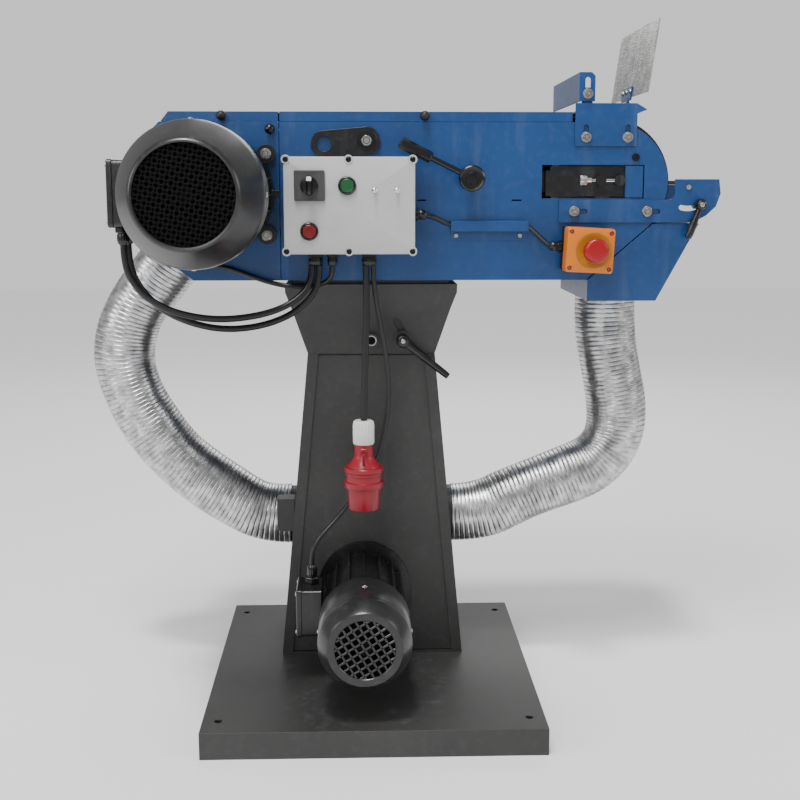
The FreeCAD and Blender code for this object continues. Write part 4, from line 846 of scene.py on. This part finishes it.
# %% [markdown]
# ## Emergency stop
# A yellow cover on a black base, set a few degrees off square, with an ochre disc and a red mushroom whose
# crown is a flattened dome. The mushroom is a piece of its own because it is pressed.

# %% Emergency stop
STOP_X = 350
STOP_Z = 753
STOP_TURN = math.radians(-3)


def stop_cover():
    place = (STOP_X, 0, STOP_Z)
    cover = stack(rounded_box(78, 72, 5), [(-1, 44), (0, 44.8), (0, 70), (-1.2, 73.6), (-3.4, 75)], place,
                  FRONT, 64, turn=STOP_TURN)
    disc = stack(circle, [(29, 74.6), (29, 76.8), (28.2, 77.8), (26, 78), (24, 77.4), (12, 77.4)],
                 (STOP_X + 5, 0, STOP_Z), FRONT, 64)
    screws = []
    for side in (-1, 1):
        for rise in (-1, 1):
            across = side * 32 * math.cos(STOP_TURN) - rise * 29 * math.sin(STOP_TURN)
            along = side * 32 * math.sin(STOP_TURN) + rise * 29 * math.cos(STOP_TURN)
            screws.append(stack(circle, [(3.6, 74.4), (3.6, 75.4), (2.9, 75.9), (1.7, 75.9), (1.4, 74.9)],
                                (STOP_X + across, 0, STOP_Z + along), FRONT, 20))
    return piece_of("estop_cover_moulded", [cover, disc] + screws, None, [signal_yellow, ochre, stop_red],
                    ("estop_cover",), 0.0, [0, 1] + [2] * 4)


def stop_mushroom():
    crown = [(8, 70), (8, 86), (16.5, 86.6), (19.2, 88.4), (20, 91.5), (20, 98), (19, 101), (16.5, 102.9),
             (12, 103.7), (6, 104)]
    cap = stack(circle, crown, (STOP_X + 5, 0, STOP_Z), FRONT, 64)
    return piece_of("estop_button_moulded", [cap], None, [mushroom_red], ("estop_button",))


rounded_copy("estop_base", matt_black, 1.6)
stop_cover()
stop_mushroom()
print("emergency stop made")

# %% [markdown]
# ## Levers
# A clamp lever is a hub on a stud with a straight handle, cut off square at its end. The large one tapers
# outwards and the small one swells, so that the fingers find it. The handle is a ring carried along a line,
# with a reach that changes along the way.

# %% Clamp levers
def handle(start, end, reaches, count=20):
    """A handle from start to end, whose reach follows the list."""
    share = np.linspace(0, 1, 4 * len(reaches))
    line = np.outer(1 - share, start) + np.outer(share, end)
    reach = np.interp(share, np.linspace(0, 1, len(reaches)), reaches)
    return close_ends(carry(line * MM, reach[:, None] * MM, count, (0, 1, 0)), False), False


def clamp_lever(node, x, y, z, end, hub, grip):
    """The hub's heights run towards the operator from the plate it clamps, which lies at y."""
    boss = stack(circle, [(hub - 2, 0), (hub, 1.6), (hub, 13), (hub - 1.6, 16.4), (hub - 4, 17.6),
                          (4.6, 17.8), (4, 16.4)], (x, y, z), FRONT, 40)
    cap = stack(hexagon, [(3.6, 15.8), (3.6, 17.6), (3, 18), (1.8, 18), (1.6, 16.6)], (x, y, z), FRONT, 24)
    arm = handle((x, y - 7, z), (end[0], y - 12, end[1]), grip)
    return piece_of(node + "_moulded", [boss, arm, cap], None, [lever_black, zinc], (node,),
                    0.0, [0, 0, 1])


def tension_lever():
    """A round hub, a plain rod and a grip with flats."""
    hub = stack(circle, [(18.5, 40), (21, 42), (21, 58), (20, 60.6), (18, 61.8), (16.4, 61), (10, 61),
                         (9, 62), (5.8, 62), (5.2, 60.6)], (161, 0, 867), FRONT, 64)
    neck = stack(circle, [(9, -8), (9, 44)], (161, 0, 867), FRONT, 32)
    way = math.radians(154)
    out = np.array([math.cos(way), 0, math.sin(way)])
    middle = np.array([161, -53, 867])
    rod = handle(middle + out * 14, middle + out * 84, [5.2, 4.8, 4.6, 4.6, 4.6])
    across = np.array([-math.sin(way), 0, math.cos(way)])
    grip_axes = np.array([np.cross(across, out), across, out])
    grip = stack(hexagon, [(6.2, 72), (8.2, 74.5), (8.4, 80), (9.0, 124), (8.4, 127), (6.4, 128)], middle,
                 grip_axes, 48)
    return piece_of("tension_lever_moulded", [hub, neck, rod, grip], None, [gloss_black], ("tension_lever",),
                    0.0)


TAPERED_GRIP = [6.2, 6.8, 7.0, 6.8, 6.6, 6.4, 6.2, 6.0, 5.9, 5.8, 5.2]
SWELLING_GRIP = [5.2, 5.0, 4.8, 5.2, 5.8, 6.4, 6.8, 6.8, 6.6, 5.4]
clamp_lever("lock_lever", 53, 18, 599, (129, 539), 11, TAPERED_GRIP)
clamp_lever("rest_lever", 539, -16.4, 825, (518, 771), 9, SWELLING_GRIP)
tension_lever()
print("levers made")

# %% [markdown]
# ## Screws
# Cap screws with a hexagon socket and a washer hold the adjustable plates, larger ones hold the motor. They
# are small, but each catches one bright point of light, and without them the plates look glued on.

# %% Screws and the tracking nut
def cap_screw(x, z, seat, reach, height, washer):
    """A washer, a knurled head and a six-sided socket; seat is how far the washer's back is from Y = 0."""
    place = (x, -seat, z)
    ring = stack(circle, [(washer - 0.4, 0), (washer, 0.5), (washer, 2.2), (washer - 0.7, 3)], place, FRONT,
                 32)
    head = stack(fluted(28, 0.03), [(reach - 0.3, 2.8), (reach, 3.4), (reach, height),
                                    (reach - 0.9, height + 1.2)], place, FRONT, 84)
    socket = stack(hexagon, [(reach * 0.62, height + 0.6), (reach * 0.62, height + 1.35),
                             (reach * 0.52, height + 1.35), (reach * 0.5, height - 1.4)], place, FRONT, 36)
    return [ring, head, socket]


def screws_on_head():
    """The plate screws, the bracket screw, the motor bolts, the lug bolt and two black fittings."""
    surfaces = []
    for x, z in ((349, 933), (417, 933), (332, 814), (452, 814)):
        surfaces += cap_screw(x, z, 16.3, 6, 8.4, 8.5)
    surfaces += cap_screw(351, 1002, 12.6, 6, 8.4, 8.5)
    for side in (-1, 1):
        for rise in (-1, 1):
            surfaces += cap_screw(-257 + side * 88, 841 + rise * 64.5, 25, 7.4, 9.4, 9)
    surfaces += cap_screw(-7, 927, 20.5, 8.6, 4.4, 15)
    # Each socket takes the near-black material: painted shade down in the screw's recess.
    tags = [0, 0, 1] * 9 + [2, 0, 1]
    black = stack(circle, [(6.2, 12), (6.2, 15.6), (5.2, 17), (3.4, 17), (3, 15)], (432, 0, 901), FRONT, 32)
    knob = [(5, 12), (3.4, 13.4), (3.4, 16), (6.4, 17.6), (8, 20.4), (8.3, 23.4), (7.2, 27), (4.6, 29.4),
            (2, 30.2)]
    ball = stack(circle, knob, (-162, 0, 945), FRONT, 32)
    return piece_of("screws_on_head", surfaces + [black, ball], None, [zinc, black_and_painted_shade, gloss_black],
                    ("clamp_screws",), 0.0, tags + [2, 2])


screws_on_head()
nut = [stack(fluted(18, 0.16), [(7, 341), (8, 342), (8, 351), (7, 352)], (0, -15, 864), RIGHT, 108),
       stack(circle, [(5.5, 351.6), (5.5, 359), (4.6, 360)], (0, -15, 864), RIGHT, 32)]
piece_of("tracking_nut_turned", nut, None, [ground_steel, bright_chrome], ("tracking_nut",),
         0.0, [0, 1])
# A zinc ring round the pivot bolt's head and, inside it, a thin near-black hexagon that is painted shade for
# the socket.
pivot = [stack(circle, [(8.8, -13.1), (8.8, -12), (7, -12), (7, -13.1)], (0, 0, 599), FRONT, 40, loop=True),
         stack(hexagon, [(5.8, -13.1), (5.8, -12.8)], (0, 0, 599), FRONT, 36)]
piece_of("pivot_bolt_socket", pivot, node_body["pivot_bolts"], [zinc, black_and_painted_shade],
         tags=[0, 1])
print("screws made")

# %% [markdown]
# ## Remaining frame parts
# Wheels, shafts, belt and liners keep the frame's own meshes, because their shape is already right and most
# of them are seen only through gaps. Each still gets the finish of its metal, rubber or cloth.

# %% Plain finishes for what stays as it is
plain = {
    "pivot_bolts": charcoal_coat, "blower_shaft": ground_steel, "blower_impeller": turned_aluminium,
    "blower_scroll": charcoal_coat, "platen": ground_steel, "drive_shaft": ground_steel,
    "drive_wheel": turned_aluminium, "contact_hub": turned_aluminium, "contact_tyre": tyre_rubber,
    "grinding_belt": abrasive_cloth, "rest_table": ground_steel,
}
for node, material in plain.items():
    target = frame["nodes"][node]
    target.data.materials.clear()
    target.data.materials.append(material)
print("plain finishes", len(plain))

# %% [markdown]
# ## Studio
# A pale floor under a steep overhead sun, with soft lights in front, at each side and behind. The sun keeps
# the floor as bright as the background. Soft light suits enamel: it draws long, quiet highlights along the
# folds. The background is brighter to the camera than the light it gives, so that dark paint stays dark.

# %% Floor and lights
def make_floor():
    floor_paint = Finish("studio_floor", (0.92, 0.92, 0.92), 0.7)
    floor_paint.bump(floor_paint.noise(0.01, 2), 0.00002)
    mesh = bpy.data.meshes.new("studio_floor")
    mesh.from_pydata([(-9, -9, 0), (9, -9, 0), (9, 9, 0), (-9, 9, 0)], [], [(0, 1, 2, 3)])
    mesh.materials.append(floor_paint.material)
    floor = bpy.data.objects.new("studio_floor", mesh)
    bpy.context.collection.objects.link(floor)


def softbox(name, place, aim, size, power):
    """A square lamp at place, turned to face the aim."""
    lamp = bpy.data.lights.new(name, "AREA")
    lamp.shape = "SQUARE"
    lamp.size = size
    lamp.energy = power
    holder = bpy.data.objects.new(name, lamp)
    holder.location = place
    offset = np.subtract(aim, place)
    flat = math.hypot(offset[0], offset[1])
    holder.rotation_euler = (math.atan2(flat, -offset[2]), 0, math.atan2(offset[1], offset[0]) - math.pi / 2)
    bpy.context.collection.objects.link(holder)


def overhead_sun():
    """A steep, slightly soft sun: it lights the floor evenly out to the horizon and drops short shadows."""
    lamp = bpy.data.lights.new("overhead_sun", "SUN")
    lamp.energy = 1.6
    lamp.angle = math.radians(7)
    holder = bpy.data.objects.new("overhead_sun", lamp)
    holder.rotation_euler = (math.radians(17), math.radians(-5), 0)
    bpy.context.collection.objects.link(holder)


make_floor()
overhead_sun()
middle = (0, 0, 0.75)
softbox("key_softbox", (-0.5, -1.4, 3.0), middle, 1.0, 45)
softbox("front_softbox", (-1.4, -2.8, 2.2), middle, 1.4, 26)
softbox("left_softbox", (-3.0, -1.2, 1.6), middle, 1.2, 26)
softbox("right_softbox", (3.0, -1.0, 1.8), middle, 1.2, 20)
softbox("back_softbox", (0.5, 3.0, 2.6), middle, 2.0, 40)
world = bpy.data.worlds.new("studio_air")
world.use_nodes = True
world.node_tree.nodes["Background"].inputs[0].default_value = (1, 1, 1, 1)
world_nodes = world.node_tree.nodes
ray = world_nodes.new("ShaderNodeLightPath")
strength = world_nodes.new("ShaderNodeMath")
strength.operation = "MULTIPLY_ADD"
strength.inputs[1].default_value = 0.42
strength.inputs[2].default_value = 0.45
world.node_tree.links.new(ray.outputs["Is Camera Ray"], strength.inputs[0])
world.node_tree.links.new(strength.outputs[0], world_nodes["Background"].inputs[1])
bpy.context.scene.world = world
